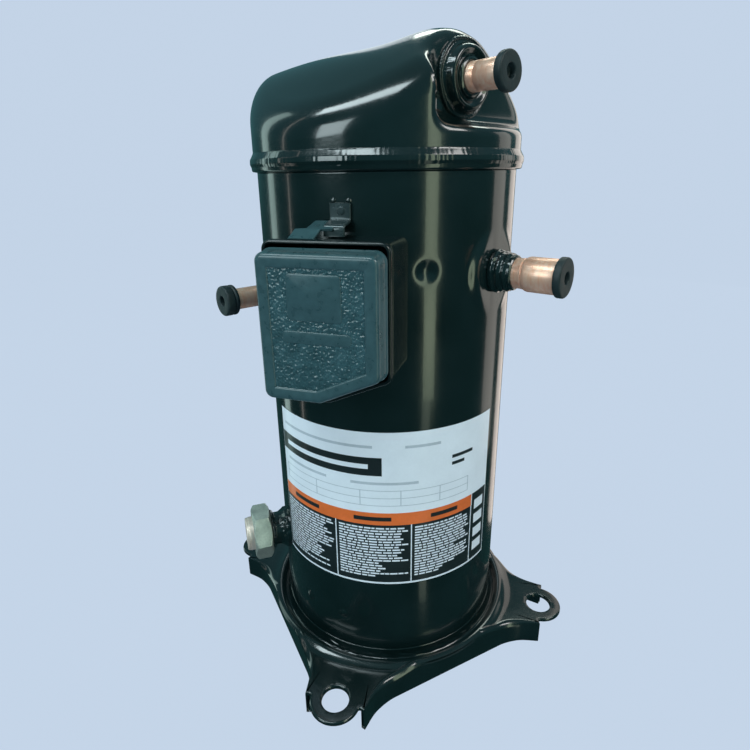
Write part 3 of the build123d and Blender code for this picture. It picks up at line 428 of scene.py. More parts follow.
def inset(points, distance):
    """A convex anticlockwise outline moved inwards by a distance."""
    count, lines = len(points), []
    for i in range(count):
        a, b = np.array(points[i], float), np.array(points[(i + 1) % count], float)
        along = (b - a) / np.linalg.norm(b - a)
        lines.append((a + distance * np.array([-along[1], along[0]]), along))
    out = []
    for i in range(count):
        (p, u), (q, v) = lines[i - 1], lines[i]
        t = ((q - p)[0] * v[1] - (q - p)[1] * v[0]) / (u[0] * v[1] - u[1] * v[0])
        out.append(tuple(p + u * t))
    return out


def lumps(seed, count, slow, fast, size):
    """A smooth uneven function of an angle, made of sine waves."""
    draw = np.random.default_rng(seed)
    waves = []
    for _ in range(count):
        waves.append((draw.integers(slow, fast), draw.uniform(0, 2 * math.pi), draw.uniform(0.4, 1.0)))
    total = sum(height for _, _, height in waves)

    def value(angle):
        return size * sum(height * np.sin(rate * angle + phase) for rate, phase, height in waves) / total
    return value


def weld_lumps(seed, size, first, last, ripples=(12, 40)):
    """A wobble for a lathe that is uneven between two heights."""
    ripple, drift = lumps(seed, 7, *ripples, size), lumps(seed + 50, 4, 2, 7, size)

    def wobble(angle, r, z):
        if not first < z < last:
            return 0.0
        swell = math.sin(math.pi * (z - first) / (last - first))
        return swell * (ripple(angle + 0.07 * z) + drift(angle - 0.05 * z))
    return wobble


# ---- top cap ----
CAP_LOW_AZ, CAP_LOW_LEVEL, CAP_RISE = -20, 397.6, 33.6
CAP_STEP_START, CAP_STEP_LENGTH, CAP_CROWN, CAP_CORNER = -118, 97, 0.00088, 14
HUMP, HUMP_AZ, HUMP_R, HUMP_SIZE = 8.4, 58, 54, 27
RIM_DROOP, RIM_DROOP_SIZE = 6.5, 34
SHOULDER_AZ, SHOULDER_DROP, SHOULDER_START, SHOULDER_LENGTH = 108, 27, 54, 44
POCKET_LEDGE_Z, POCKET_HALF, POCKET_ROUND = 381, 38, 6


def smooth_max(a, b, k):
    """The larger of two fields with a blend of width k."""
    h = np.maximum(k - np.abs(a - b), 0) / k
    return np.maximum(a, b) + h * h * k / 4


def smooth_min(a, b, k):
    """The smaller of two fields with a blend of width k."""
    return -smooth_max(-a, -b, k)


def smooth_step(t):
    """Goes from 0 to 1 as t does, with level ends."""
    t = np.clip(t, 0, 1)
    return t * t * (3 - 2 * t)


def cap_field(x, y, z):
    """Distance-like field of the cap's outside: negative inside."""
    down, out_way, hump = polar(1, CAP_LOW_AZ), polar(1, DISCHARGE[0]), polar(HUMP_R, HUMP_AZ)
    away = -(x * down.x + y * down.y)
    level = CAP_LOW_LEVEL + CAP_RISE * smooth_step((away - CAP_STEP_START) / CAP_STEP_LENGTH)
    level = level - CAP_CROWN * (x * x + y * y) - RIM_DROOP * np.exp(-((away + CAP_R) / RIM_DROOP_SIZE) ** 2)
    level = level + HUMP * np.exp(-((x - hump.x) ** 2 + (y - hump.y) ** 2) / HUMP_SIZE ** 2)
    aside = polar(1, SHOULDER_AZ)
    past = x * aside.x + y * aside.y - SHOULDER_START
    level = level - SHOULDER_DROP * smooth_step(past / SHOULDER_LENGTH)
    body = smooth_max(np.hypot(x, y) - CAP_R, (z - level) * 0.93, CAP_CORNER)
    out = x * out_way.x + y * out_way.y
    across = x * out_way.y - y * out_way.x
    ledge = z - POCKET_LEDGE_Z - 0.10 * (CAP_R - out)
    room = smooth_min(smooth_min(out - POCKET_D + 0.5, POCKET_HALF - across, 16), ledge, 10)
    return smooth_max(body, room, POCKET_ROUND)


def cap_surface(columns=420, rows=190):
    """Points of the cap's outside: rays from low on the axis, each followed to the field's zero."""
    spread = np.linspace(0, 1, rows)
    lift = (0.55 * spread + 0.45 * spread ** 1.6) * math.pi / 2
    turn = np.linspace(0, 2 * math.pi, columns, endpoint=False)
    lift, turn = np.meshgrid(lift, turn, indexing="ij")
    dx, dy, dz = np.cos(lift) * np.sin(turn), -np.cos(lift) * np.cos(turn), np.sin(lift)
    near, far = np.full(lift.shape, 20.0), np.full(lift.shape, 150.0)
    for _ in range(30):
        middle = (near + far) / 2
        inside = cap_field(dx * middle, dy * middle, CAP_LOW + dz * middle) < 0
        near, far = np.where(inside, middle, near), np.where(inside, far, middle)
    return np.stack([dx * near, dy * near, CAP_LOW + dz * near], axis=-1)


def top_cap():
    """The pressed cap with its sloping, dished front and the pocket for the discharge fitting."""
    obj = piece("cap_shell", grid(cap_surface()), ["top_cap"], smooth=70)
    thicken(obj, WALL)


# ---- shell, seam and bowl ----
SKIN_LOW = 6
STAKE_DEPTH, STAKE_SIZE = 2.1, 5.6
PAD_EDGE, PAD_BLEND = 31, 10
PLUG_WELD_AZ, PLUG_WELD_Z = (-27, -6, 93, 114, 213, 234), 36


def spot_distance(az, z, spot_az, spot_z):
    """Distance over the shell's surface from a spot."""
    turn = (az - math.radians(spot_az) + math.pi) % (2 * math.pi) - math.pi
    return np.hypot(turn * SHELL_R, z - spot_z)


def shell_bulge(az, z):
    """How far the shell's surface stands out of its cylinder: pad, stakes and plug welds."""
    r = spot_distance(az, z, *SUCTION)
    turn = np.clip(az - math.radians(SUCTION[0]), -1, 1)
    flat = (SHELL_R - 0.2) / np.cos(turn) - SHELL_R
    out = np.maximum(flat, 0) * smooth_step((PAD_EDGE - r) / PAD_BLEND)
    for stake in STAKE_AZ:
        r = spot_distance(az, z, stake, STAKE_Z)
        out -= STAKE_DEPTH * np.exp(-(r / STAKE_SIZE) ** 2.5)
    for weld_az in PLUG_WELD_AZ:
        r = spot_distance(az, z, weld_az, PLUG_WELD_Z)
        out += 1.3 * np.exp(-(r / 2.8) ** 4) - 0.4 * np.exp(-((r - 4.4) / 1.2) ** 2)
    return out


def in_hole(point, holes):
    """Whether a shell point lies in one of its holes."""
    for az, z, radius in holes:
        local = out_frame(az, z).inverted() @ point
        if local.z > 0 and math.hypot(local.x, local.y) < radius:
            return True
    return False


def shell():
    """Shell tube with its pad, stake dimples, plug welds and holes."""
    z = np.linspace(SKIN_LOW, SHELL_TOP, 260)
    az = np.linspace(0, 2 * math.pi, 432, endpoint=False)
    z, az = np.meshgrid(z, az, indexing="ij")
    r = SHELL_R + shell_bulge(az, z)
    verts, faces = grid(np.stack([r * np.sin(az), -r * np.cos(az), z], axis=-1))
    holes = [(*SUCTION, 12), (*INJECTION, 7), (0, TERMINAL_Z, 15.5), (*UNION, 10)]
    kept = [f for f in faces if not in_hole(sum((Vector(verts[i]) for i in f), Vector()) / 4, holes)]
    obj = piece("shell_skin", (verts, kept), ["shell_body"], smooth=60)
    thicken(obj, WALL)


def seam():
    """Ledge of the partition's rim and the uneven weld bead that joins it to cap and shell."""
    wave, drift = lumps(3, 9, 60, 240, 0.10), lumps(4, 6, 7, 41, 0.16)

    def wobble(angle, r, z):
        edge = r > SEAM_R - 1
        return (wave(angle) + drift(angle)) * (1.0 if z > SHELL_TOP + 3 else 0.2) if edge else 0.0
    inner, ledge = SHELL_R - 2 * WALL, SEAM_R + 0.35
    outline = soft([
        (inner, SHELL_TOP + 0.2), (SHELL_R + 0.2, SHELL_TOP - 0.2), (ledge - 0.2, SHELL_TOP + 0.3),
        (ledge + 0.1, SHELL_TOP + 3.0), (ledge + 0.9, SHELL_TOP + 5.0), (ledge + 0.7, CAP_LOW - 0.6),
        (CAP_R + 0.5, CAP_LOW + 2.6), (CAP_R + 0.1, CAP_LOW + 3.6), (inner, CAP_LOW + 1),
    ], [0, 0.4, 1.2, 1.4, 1.8, 1.8, 1.6, 0.5, 0])
    piece("seam_weld", lathe(outline, 900, wobble), smooth=60)


def lower_bowl():
    """Rounded bowl under the shell, inside the plate's dish."""
    floor, corner, top = low("lower_cap").z, 15, SKIN_LOW + 1
    outline = [(0, floor)]
    for k in range(17):
        a = math.pi / 2 * k / 16
        outline.append((SHELL_R - 0.15 - corner + corner * math.sin(a), floor + corner * (1 - math.cos(a))))
    outline.append((SHELL_R - 0.15, top))
    thick = [(SHELL_R - WALL, top), (SHELL_R - WALL, floor + corner), (SHELL_R - corner, floor + WALL),
             (0, floor + WALL)]
    piece("bowl_skin", lathe(outline + thick, 256), ["lower_cap"], smooth=60)


# ---- base plate ----
SIDE_FLAT, SIDE_FLARE_START, SIDE_FLARE_END, SIDE_FLARE = 101, 50, 81, 9.5
FOOT_R, HOLE_R = 18.3, 9.8
HOLE_AT = next(m for m in frame["record"]["mounts"] if m["name"] == "base_holes")["dims"]["pcd_mm"] / 2
BEND_R = 5.0
DISH_R, DISH_FLOOR_R, DISH_FLOOR_Z = 98.6, 92.5, -2.0
DISH_CREST, DISH_CREST_WIDTH = 3.0, 4.8
SHEET_START = 104.0
# Angles from a side's middle, in degrees: where the flange and its bend end, and over how much they fade.
FLANGE_END, FLANGE_FADE = 36.3, 0.7
BEND_END, BEND_FADE = 36.0, 7.0
FOOT_EDGE, FLAT_T, UNDER_FOOT = 1.4, 0.4, 0.9


def side_line(along):
    """Distance of a side's outer face from the axis, at a distance along the side from its middle."""
    t = np.clip((np.abs(along) - SIDE_FLARE_START) / (SIDE_FLARE_END - SIDE_FLARE_START), 0, 1)
    return SIDE_FLAT + SIDE_FLARE * t ** 1.7 - 4.0 * np.maximum(np.abs(along) - SIDE_FLARE_END, 0)


def plate_field(x, y):
    """Field of the plate's outline in the XY plane: negative inside."""
    u, v = np.abs(x + y) / math.sqrt(2), np.abs(x - y) / math.sqrt(2)
    sides = np.maximum(u, v) - side_line(np.minimum(u, v))
    feet = None
    for k in range(4):
        a = math.radians(90 * k)
        gap = np.hypot(x - HOLE_AT * math.cos(a), y - HOLE_AT * math.sin(a)) - FOOT_R
        feet = gap if feet is None else np.minimum(feet, gap)
    return smooth_min(sides, feet, 13)


def plate_edge(turn):
    """Outline points and outward normals at angles about Z."""
    near, far = np.full(turn.shape, 80.0), np.full(turn.shape, 160.0)
    for _ in range(34):
        middle = (near + far) / 2
        inside = plate_field(middle * np.cos(turn), middle * np.sin(turn)) < 0
        near, far = np.where(inside, middle, near), np.where(inside, far, middle)
    x, y = near * np.cos(turn), near * np.sin(turn)
    step = 0.6
    nx = plate_field(x + step, y) - plate_field(x - step, y)
    ny = plate_field(x, y + step) - plate_field(x, y - step)
    size = np.hypot(nx, ny)
    return x, y, nx / size, ny / size


def dish_height(r):
    """Height of the plate's top over its radius: the dish round the shell and the crest at its edge."""
    fall = smooth_step((DISH_R - r) / (DISH_R - DISH_FLOOR_R))
    crest = DISH_CREST * np.exp(-((r - DISH_R - 2.0) / DISH_CREST_WIDTH) ** 2)
    return PLATE_TOP - 0.05 - (PLATE_TOP - DISH_FLOOR_Z) * fall + crest


def on_side(turn, end, fade):
    """1 where the outline is a flanged side and 0 at the feet; angles from a side's middle, in degrees."""
    off = np.abs(turn % (math.pi / 2) - math.pi / 4)
    return smooth_step((math.radians(end) - off) / math.radians(fade))


def plate_turns():
    """Angles round the plate, closest together where the feet start."""
    spans = [(0, 34, 90), (34, 39, 81), (39, 45, 31)]
    eighth = np.concatenate([[0.0]] + [np.linspace(*span)[1:] for span in spans])
    quarter = np.concatenate([-eighth[:0:-1], eighth[:-1]])
    return np.radians(np.concatenate([45 + 90 * k + quarter for k in range(4)]))


def base_plate():
    """Pressed plate: a dish round the shell, bent flanges along four sides and four feet with holes."""
    turn = plate_turns()
    x, y, nx, ny = plate_edge(turn)
    side, rolled = on_side(turn, FLANGE_END, FLANGE_FADE), on_side(turn, BEND_END, BEND_FADE)
    bend = FOOT_EDGE + (BEND_R - FOOT_EDGE) * rolled
    inner_bend = FLAT_T + (BEND_R - PLATE_T - FLAT_T) * rolled
    under = UNDER_FOOT + (PLATE_T - UNDER_FOOT) * side

    def ring_at(inwards, z):
        return np.stack([x - nx * inwards, y - ny * inwards, z + 0 * turn], -1)

    def sheet(drop, inwards):
        edge = ring_at(inwards, 0)
        flat = []
        for r in np.concatenate([np.linspace(80, 91, 6), np.linspace(92, SHEET_START, 22)]):
            flat.append(np.stack([r * np.cos(turn), r * np.sin(turn), dish_height(r) - drop + 0 * turn], -1))
        for t in np.linspace(0.06, 1, 16):
            px = SHEET_START * np.cos(turn) * (1 - t) + edge[:, 0] * t
            py = SHEET_START * np.sin(turn) * (1 - t) + edge[:, 1] * t
            flat.append(np.stack([px, py, dish_height(np.hypot(px, py)) - drop], -1))
        return flat
    rows = sheet(0, bend)
    top = rows[-1][:, 2]
    for a in np.linspace(0, math.pi / 2, 9)[1:]:
        rows.append(ring_at(bend * (1 - math.sin(a)), top - bend * (1 - math.cos(a))))
    foot = top - PLATE_T + 0.5
    bottom = foot + (SKIRT_LOW + 0.3 - foot) * side
    for t in np.linspace(0.15, 1, 6):
        rows.append(ring_at(0, (top - bend) * (1 - t) + bottom * t))
    rows.append(ring_at(under * 0.15, bottom - 0.3))
    rows.append(ring_at(under * 0.85, bottom - 0.3))
    rise = top - PLATE_T - inner_bend * side
    for t in np.linspace(0, 1, 5):
        height = bottom * (1 - t) * side + rise * (1 - (1 - t) * side) - 0.2 * (1 - side)
        rows.append(ring_at(under, height))
    rows += sheet(PLATE_T, under + inner_bend)[::-1]
    drill_feet(piece("base_skin", grid(rows, close_rows=True), ["base_plate"], smooth=50))


def foot_weld():
    """Weld fillet between the shell and the plate's dish."""
    points = [(88, -5), (88, 7.5), (SHELL_R + 0.3, 7.0), (SHELL_R + 0.9, 3.0), (SHELL_R + 2.6, 0.4),
              (SHELL_R + 5.2, -0.6), (SHELL_R + 5.2, -5)]
    outline = soft(points, [0, 0, 0.6, 3.0, 3.0, 1.0, 0])
    piece("foot_weld", lathe(outline, 288, weld_lumps(71, 0.25, -2, 7.4, (20, 60))), smooth=70)


def drill_feet(obj):
    """Cuts the four mounting holes with rounded rims."""
    rim, above, below = 1.6, PLATE_TOP + 20, -30
    outline = [(0, below), (HOLE_R, below)]
    for a in np.linspace(0, math.pi / 2, 6):
        outline.append((HOLE_R + rim * (1 - math.cos(a)), PLATE_TOP - rim + rim * math.sin(a)))
    outline += [(HOLE_R + rim, above), (0, above)]
    for k in range(4):
        verts, faces = lathe(outline, 96)
        mesh = bpy.data.meshes.new("drill")
        mesh.from_pydata([tuple(v) for v in verts], [], faces)
        mesh.transform(Matrix.Translation(polar(HOLE_AT, 90 * k)))
        mesh.transform(Matrix.Scale(MM, 4))
        tidy(mesh)
        tool = bpy.data.objects.new("drill", mesh)
        bpy.context.scene.collection.objects.link(tool)
        apply_modifier(obj, "BOOLEAN", object=tool, operation="DIFFERENCE", solver="MANIFOLD")
        bpy.data.objects.remove(tool)
    shade(obj, 60)


# ---- tube fittings ----
def fitting(name, outline, at, nodes=(), material="black_enamel", body="housing", steps=128, wobble=None,
            smooth=40):
    """A turned piece on a radial axis; at is its azimuth and height."""
    return piece(name, lathe(outline, steps, wobble), nodes, material, body, out_frame(*at), smooth)


def discharge_boss():
    """Stepped boss in the cap's pocket, with the weld bead round its foot and a braze ring round the tube."""
    face = POCKET_D
    outline = soft([
        (8.4, face - 5), (22.6, face - 5), (22.6, face + 0.8), (21.6, face + 1.8), (20.4, face + 0.7),
        (18.6, face + 2.2), (17.6, face + 6.4), (15.8, face + 7.8), (13.8, face + 6.2), (11.8, face + 4.6),
        (11.2, face + 7.0), (9.6, face + 8.0), (8.4, face + 7.6),
    ], [0, 0, 1.2, 1.4, 1.0, 2.0, 2.6, 1.8, 2.4, 0.8, 1.0, 0.8, 0])
    wobble = weld_lumps(11, 0.45, face - 1, face + 3, (40, 90))
    fitting("discharge_boss", outline, DISCHARGE, ["discharge_fitting"], steps=288, wobble=wobble, smooth=60)


def tube(name, r_out, bore, start, tip, ring, depth, at, node):
    """Copper tube with a rolled ring line, a rounded lip and an open bore."""
    outline = [(r_out, start), (r_out, ring - 0.7), (r_out - depth, ring), (r_out, ring + 0.7)]
    outline += [(r_out, tip - 0.8), (r_out - 0.25, tip - 0.2), (r_out - 0.7, tip), (bore + 0.3, tip - 0.1),
                (bore + 0.2, tip - 9), (bore, tip - 9.3), (bore, tip - 20), (bore - 1, tip - 20.5),
                (bore - 1, start)]
    fitting(name, outline, at, [node], "copper", steps=96, smooth=35)


def suction():
    """Welded collar, and the belled copper stub with a ring line where the bell starts."""
    foot, nose = SHELL_R, reach("suction_collar", SUCTION[0])
    neck, bell, bore = 9.7, 11.15, 9.6
    outline = soft([
        (neck, foot - 6), (13.0, foot - 6), (13.0, foot - 0.5), (13.9, foot + 0.4), (14.2, foot + 2.6),
        (12.9, foot + 4.2), (13.6, foot + 6.4), (12.4, foot + 8.4), (12.6, foot + 10.4), (11.4, foot + 12.0),
        (11.4, nose - 1.4), (10.4, nose - 0.4), (neck, nose - 0.4),
    ], [0, 0, 0, 0.8, 1.2, 0.9, 1.2, 0.9, 0.9, 0.6, 0.6, 0.4, 0])
    wobble = weld_lumps(21, 0.5, foot - 1, nose - 1, (7, 18))
    fitting("suction_ring", outline, SUCTION, ["suction_collar"], steps=160, wobble=wobble, smooth=60)
    step = SUCTION_TIP - 21
    outline = [
        (neck, foot - 6), (neck, step - 2.2), (neck + 0.25, step - 1.4), (neck - 0.25, step - 0.6),
        (neck + 0.5, step), (bell - 0.35, step + 1.2), (bell, step + 2.4), (bell, SUCTION_TIP - 1),
        (bell - 0.5, SUCTION_TIP),
        (bore + 0.3, SUCTION_TIP), (bore + 0.2, SUCTION_TIP - 9), (bore, SUCTION_TIP - 9.3),
        (bore, SUCTION_TIP - 20), (neck - 1.3, SUCTION_TIP - 20.5), (neck - 1.3, foot - 6),
    ]
    fitting("suction_tube", outline, SUCTION, ["suction_stub"], "copper", smooth=35)


def injection():
    """Small collar and copper tube beside the terminal box."""
    foot = SHELL_R
    points = [(6.5, foot - 4), (8.0, foot - 4), (8.6, foot + 0.6), (7.6, foot + 3.2), (6.5, foot + 3.8)]
    outline = soft(points, [0, 0, 1.0, 1.0, 0])
    wobble = weld_lumps(31, 0.3, foot - 1, foot + 4, (8, 20))
    fitting("injection_ring", outline, INJECTION, ["injection_collar"], steps=96, wobble=wobble, smooth=60)
    tube("injection_tube", 6.5, 4.8, foot - 6, INJECTION_TIP, foot + 9, 0.3, INJECTION, "injection_stub")


def plug(kind, stem, tip, hole, at, groove=None):
    """Moulded rubber plug: rounded head with a blind centre hole, and a stem in the tube's mouth."""
    node, deep = f"{kind}_plug", tip + 1.2
    r, end = (high(node).z - low(node).z) / 2, reach(node, at[0])
    points = [(0, tip - 8), (stem - 0.8, tip - 8), (stem, tip - 6.8), (stem, tip + 0.1), (r, tip + 0.1)]
    radii = [0, 0.4, 0.4, 0, 1.0]
    if groove is not None:
        points += [(r, groove - 0.8), (r - 0.7, groove), (r, groove + 0.8)]
        radii += [0.3, 0.3, 0.3]
    points += [(r, end), (hole, end), (hole - 0.5, deep), (0, deep)]
    radii += [1.3, 0.7, 0.6, 0]
    fitting(f"{kind}_bung", soft(points, radii), at, [node], "rubber", f"{kind}_cap", smooth=50)


def plugs():
    """The three plugs that keep the tubes clean until they are brazed."""
    plug("discharge", 6.5, DISCHARGE_TIP, 4.1, DISCHARGE)
    plug("suction", 9.7, SUCTION_TIP, 4.0, SUCTION)
    plug("injection", 4.9, INJECTION_TIP, 3.2, INJECTION, INJECTION_TIP + 2.6)


# ---- oil union ----
NUT_FLATS = 38
NUT_START, NUT_END = reach("rotalock_nut", UNION[0], -1), reach("rotalock_nut", UNION[0])
NUT_SEAT = NUT_START + 9.2
THREAD_R, THREAD_PITCH, BLANK_R = 15.8, 2.117, 13.35
BOSS_TIP = reach("oil_fitting_boss", UNION[0])


def oil_boss():
    """Threaded boss with its weld foot, open to the oil."""
    foot = SHELL_R
    points = [(8, foot - 3), (12, foot - 3), (16.4, foot - 1.5), (16.2, foot + 1.6), (14.2, foot + 4.2),
              (13.2, foot + 6.5), (13.2, NUT_START - 3.2), (15.0, NUT_START - 2.0)]
    rounded = soft(points, [0, 0, 0, 1.6, 1.4, 1.2, 0.8, 0.4])
    turns = int((BOSS_TIP - NUT_START + 1) / THREAD_PITCH)
    for k in range(turns):
        at = NUT_START - 1.4 + THREAD_PITCH * k
        rounded += [(THREAD_R - 0.05, at), (THREAD_R - 0.05, at + 0.5), (THREAD_R - 1.1, at + 1.0),
                    (THREAD_R - 1.1, at + 1.5)]
    rounded += [(THREAD_R - 0.6, BOSS_TIP - 0.6), (THREAD_R - 1.2, BOSS_TIP), (8, BOSS_TIP)]
    wobble = weld_lumps(41, 0.7, foot - 1, foot + 6, (8, 24))
    fitting("oil_boss", rounded, UNION, ["oil_fitting_boss"], wobble=wobble)


def union_nut():
    """Hexagon nut with chamfered ends, a threaded bore and an inner lip."""
    def hexagon(angle, r, z):
        if r < NUT_FLATS / 2:
            return 0.0
        sector = (angle + math.pi / 6) % (math.pi / 3) - math.pi / 6
        flat = NUT_FLATS / 2 / math.cos(sector)
        chamfer = NUT_FLATS / 2 - 0.4 + 1.7 * min(z - NUT_START, NUT_END - z)
        return float(smooth_min(flat, chamfer, 0.8)) - r
    far = NUT_FLATS
    heights = [NUT_START + d for d in (0, 0.3, 0.6, 1.0, 1.4, 1.8, 2.4, 3.2)]
    heights += [NUT_END - d for d in (3.2, 2.4, 1.8, 1.4, 1.0, 0.6, 0.3, 0)]
    outline = [(THREAD_R + 0.6, NUT_START), (NUT_FLATS / 2 - 0.6, NUT_START)]
    outline += [(far, h) for h in heights]
    outline += [(NUT_FLATS / 2 - 0.8, NUT_END), (BLANK_R + 0.8, NUT_END), (BLANK_R + 0.15, NUT_END - 0.7),
                (BLANK_R + 0.15, NUT_SEAT), (THREAD_R + 0.1, NUT_SEAT)]
    for k in range(4):
        at = NUT_SEAT - 0.4 - THREAD_PITCH * k
        outline += [(THREAD_R + 0.1, at), (THREAD_R + 0.7, at - 0.5), (THREAD_R + 0.7, at - 1.0)]
    fitting("union_nut", outline, UNION, ["rotalock_nut"], "zinc_steel", "nut", 360, hexagon, 22)


def union_blank():
    """Blanking cap held by the nut's lip, with a shallow stepped face."""
    end = reach("blanking_cap", UNION[0])
    outline = soft([
        (0, BOSS_TIP + 0.2), (THREAD_R - 0.3, BOSS_TIP + 0.2), (THREAD_R - 0.3, NUT_SEAT - 0.2),
        (BLANK_R, NUT_SEAT - 0.2), (BLANK_R, end - 2.6), (BLANK_R - 0.35, end - 2.2), (BLANK_R - 0.35, end),
        (9.5, end), (8.6, end - 1.0), (0, end - 1.0),
    ], [0, 0.4, 0.3, 0.2, 0.3, 0.3, 1.0, 0.6, 0.5, 0])
    fitting("union_blank", outline, UNION, ["blanking_cap"], "pale_copper", "blank", smooth=45)


# ---- terminal box ----
BOX_HALF, COVER_HALF = high("terminal_box_base").x, high("terminal_cover").x
BOX_CUT, BOX_WALL, BOX_FLOOR_Y = 17, 2.5, -99
RIM_Y, FRONT_Y = low("terminal_box_base").y, low("terminal_cover").y


def five_corners(half, bottom, top):
    """The box's outline with one lower corner cut off, anticlockwise in X and Z."""
    return [(-half, bottom), (0, bottom), (half, bottom + BOX_CUT), (half, top), (-half, top)]


CORNER_STEPS, SIDE_PARTS = 8, 8


def loop(corners, distance, radius, y):
    """The outline moved inwards, rounded, and placed at a depth; y may follow the shell."""
    outline = soft(inset(corners, distance), max(radius - distance, 0.6), CORNER_STEPS)
    placed = []
    for k, (x, z) in enumerate(outline):
        nx, nz = outline[(k + 1) % len(outline)]
        parts = SIDE_PARTS if (k + 1) % (CORNER_STEPS + 1) == 0 else 1
        for i in range(parts):
            px, pz = x + (nx - x) * i / parts, z + (nz - z) * i / parts
            placed.append((px, y(px) if callable(y) else y, pz))
    return placed


def shell_face(x):
    """Depth of the shell's surface at a place across it."""
    return -math.sqrt((SHELL_R + 0.1) ** 2 - x * x)


def box_tray():
    """Tray against the shell: rolled rim, inner floor and the opening round the terminal."""
    corners = five_corners(BOX_HALF, low("terminal_box_base").z, high("terminal_box_base").z)
    profile = [
        (0.6, shell_face), (0.6, RIM_Y + 7), (0.5, RIM_Y + 4.5), (0.1, RIM_Y + 3.8), (0, RIM_Y + 2.5),
        (0.1, RIM_Y + 1.2), (0.6, RIM_Y + 0.3), (1.4, RIM_Y), (2.2, RIM_Y + 0.4), (BOX_WALL, RIM_Y + 1.4),
        (BOX_WALL, BOX_FLOOR_Y - 2), (BOX_WALL + 0.6, BOX_FLOOR_Y - 0.5), (BOX_WALL + 2, BOX_FLOOR_Y),
    ]
    rows = [loop(corners, distance, 6, y) for distance, y in profile]
    front = rows[-1]
    hole = []
    for x, _, z in front:
        a = math.atan2(z - TERMINAL_Z, x)
        hole.append((GASKET_R * math.cos(a), BOX_FLOOR_Y, TERMINAL_Z + GASKET_R * math.sin(a)))
    rows.append(hole)
    for t in np.linspace(0, 1, 5)[:-1]:
        back = []
        for (x0, _, z0), (x1, _, z1) in zip(hole, rows[0]):
            x = x0 + (x1 - x0) * t
            back.append((x, shell_face(x), z0 + (z1 - z0) * t))
        rows.append(back)
    piece("box_tray", grid(rows, close_rows=True), ["terminal_box_base"], "tray_plastic", smooth=50)


def cover_corners():
    """The cover's outline."""
    return five_corners(COVER_HALF, low("terminal_cover").z, high("terminal_cover").z)


PANEL_Y = FRONT_Y + 0.9


def cover_frame():
    """Moulded cover: drafted sides with a ribbed foot, a rounded front edge and a border round the panel."""
    corners = cover_corners()
    back = RIM_Y - 0.3
    sides = [(1.4, back), (0.2, back), (0, back - 1.0), (0, back - 2.6), (0.5, back - 3.2), (0.7, back - 3.8)]
    sides += [(1.2, FRONT_Y + 3.4)]
    for a in np.linspace(0.15, 1.45, 7):
        sides.append((1.3 + 2.8 * (1 - math.cos(a)), FRONT_Y + 2.8 * (1 - math.sin(a))))
    sides += [(4.6, FRONT_Y), (8.2, FRONT_Y), (8.9, FRONT_Y + 0.25), (9.4, PANEL_Y + 0.1)]
    sides += [(9.6, PANEL_Y + 0.8), (9.6, FRONT_Y + BOX_WALL), (3.6, FRONT_Y + BOX_WALL + 0.4)]
    sides.append((2.9, FRONT_Y + BOX_WALL + 2))
    rows = [loop(corners, d, 6.5, y) for d, y in sides]
    piece("cover_frame", grid(rows, close_rows=True), ["terminal_cover"], "box_plastic", "cover", smooth=50)


def inside(point, corners):
    """Whether a point lies in a convex anticlockwise outline."""
    for i, a in enumerate(corners):
        b = corners[(i + 1) % len(corners)]
        if (b[0] - a[0]) * (point[1] - a[1]) - (b[1] - a[1]) * (point[0] - a[0]) < 0:
            return False
    return True


def cover_panel(pitch=0.5):
    """Pebbled panel set into the cover's front."""
    edge = inset(cover_corners(), 8.8)
    left, right = edge[0][0], edge[2][0]
    bottom, top = edge[0][1], edge[3][1]
    columns, rows = int((right - left) / pitch), int((top - bottom) / pitch)
    draw = np.random.default_rng(7)
    height = draw.random((rows + 1, columns + 1))
    height = np.clip(1.5 * (2 * height + np.roll(height, 1, 0) + np.roll(height, 1, 1)) / 4 - 0.25, 0, 1)
    x = np.linspace(left, right, columns + 1)[None, :] + draw.uniform(-0.12, 0.12, (rows + 1, columns + 1))
    z = np.linspace(bottom, top, rows + 1)[:, None] + draw.uniform(-0.12, 0.12, (rows + 1, columns + 1))
    y = PANEL_Y + 0.3 - 0.8 * height
    verts, faces = grid(np.stack([x, y, z], -1), wrap=False)
    faces = [f for f in faces if inside((verts[f[0]][0], verts[f[0]][2]), edge)]
    thicken(piece("cover_panel", (verts, faces), (), "pebbled", "cover", smooth=80), 1.0)


def raised_plate(name, outline, y_back, y_front, bevel=0.4):
    """A smooth raised plate on the cover, with a rounded front edge; the outline is (x, z), anticlockwise."""
    rows = []
    part = bevel * 0.3
    for distance, y in ((0, y_back), (0, y_front + bevel), (part, y_front + part), (bevel, y_front)):
        rows.append([(x, y, z) for x, z in soft(inset(outline, distance), 2.2, 6)])
    piece(name, capped(rows), (), "box_plastic", "cover", smooth=50)


def cover_marks():
    """Plain smooth patch and bar on the panel, with nothing on them."""
    back = PANEL_Y + 0.5
    raised_plate("cover_patch", [(-17, 280), (15, 280), (15, 306), (-17, 306)], back, FRONT_Y + 0.25)
    raised_plate("cover_bar", [(-21, 267), (20, 267), (20, 274), (-21, 274)], back, FRONT_Y + 0.35)


def strip(path, x_middle, half_width, thick, lean=0.0):
    """A bent strip with rounded edges: path is (y, z) points of its middle line, lean shifts x along it."""
    edge = soft([(-half_width, -thick / 2), (half_width, -thick / 2), (half_width, thick / 2),
                 (-half_width, thick / 2)], thick * 0.4, 4)
    rows = []
    for i, (y, z) in enumerate(path):
        back, ahead = path[max(i - 1, 0)], path[min(i + 1, len(path) - 1)]
        along = np.array([ahead[0] - back[0], ahead[1] - back[1]])
        along = along / np.linalg.norm(along)
        shift = x_middle + lean * i / (len(path) - 1)
        rows.append([(shift + u, y + along[1] * v, z - along[0] * v) for u, v in edge])
    return capped(rows)


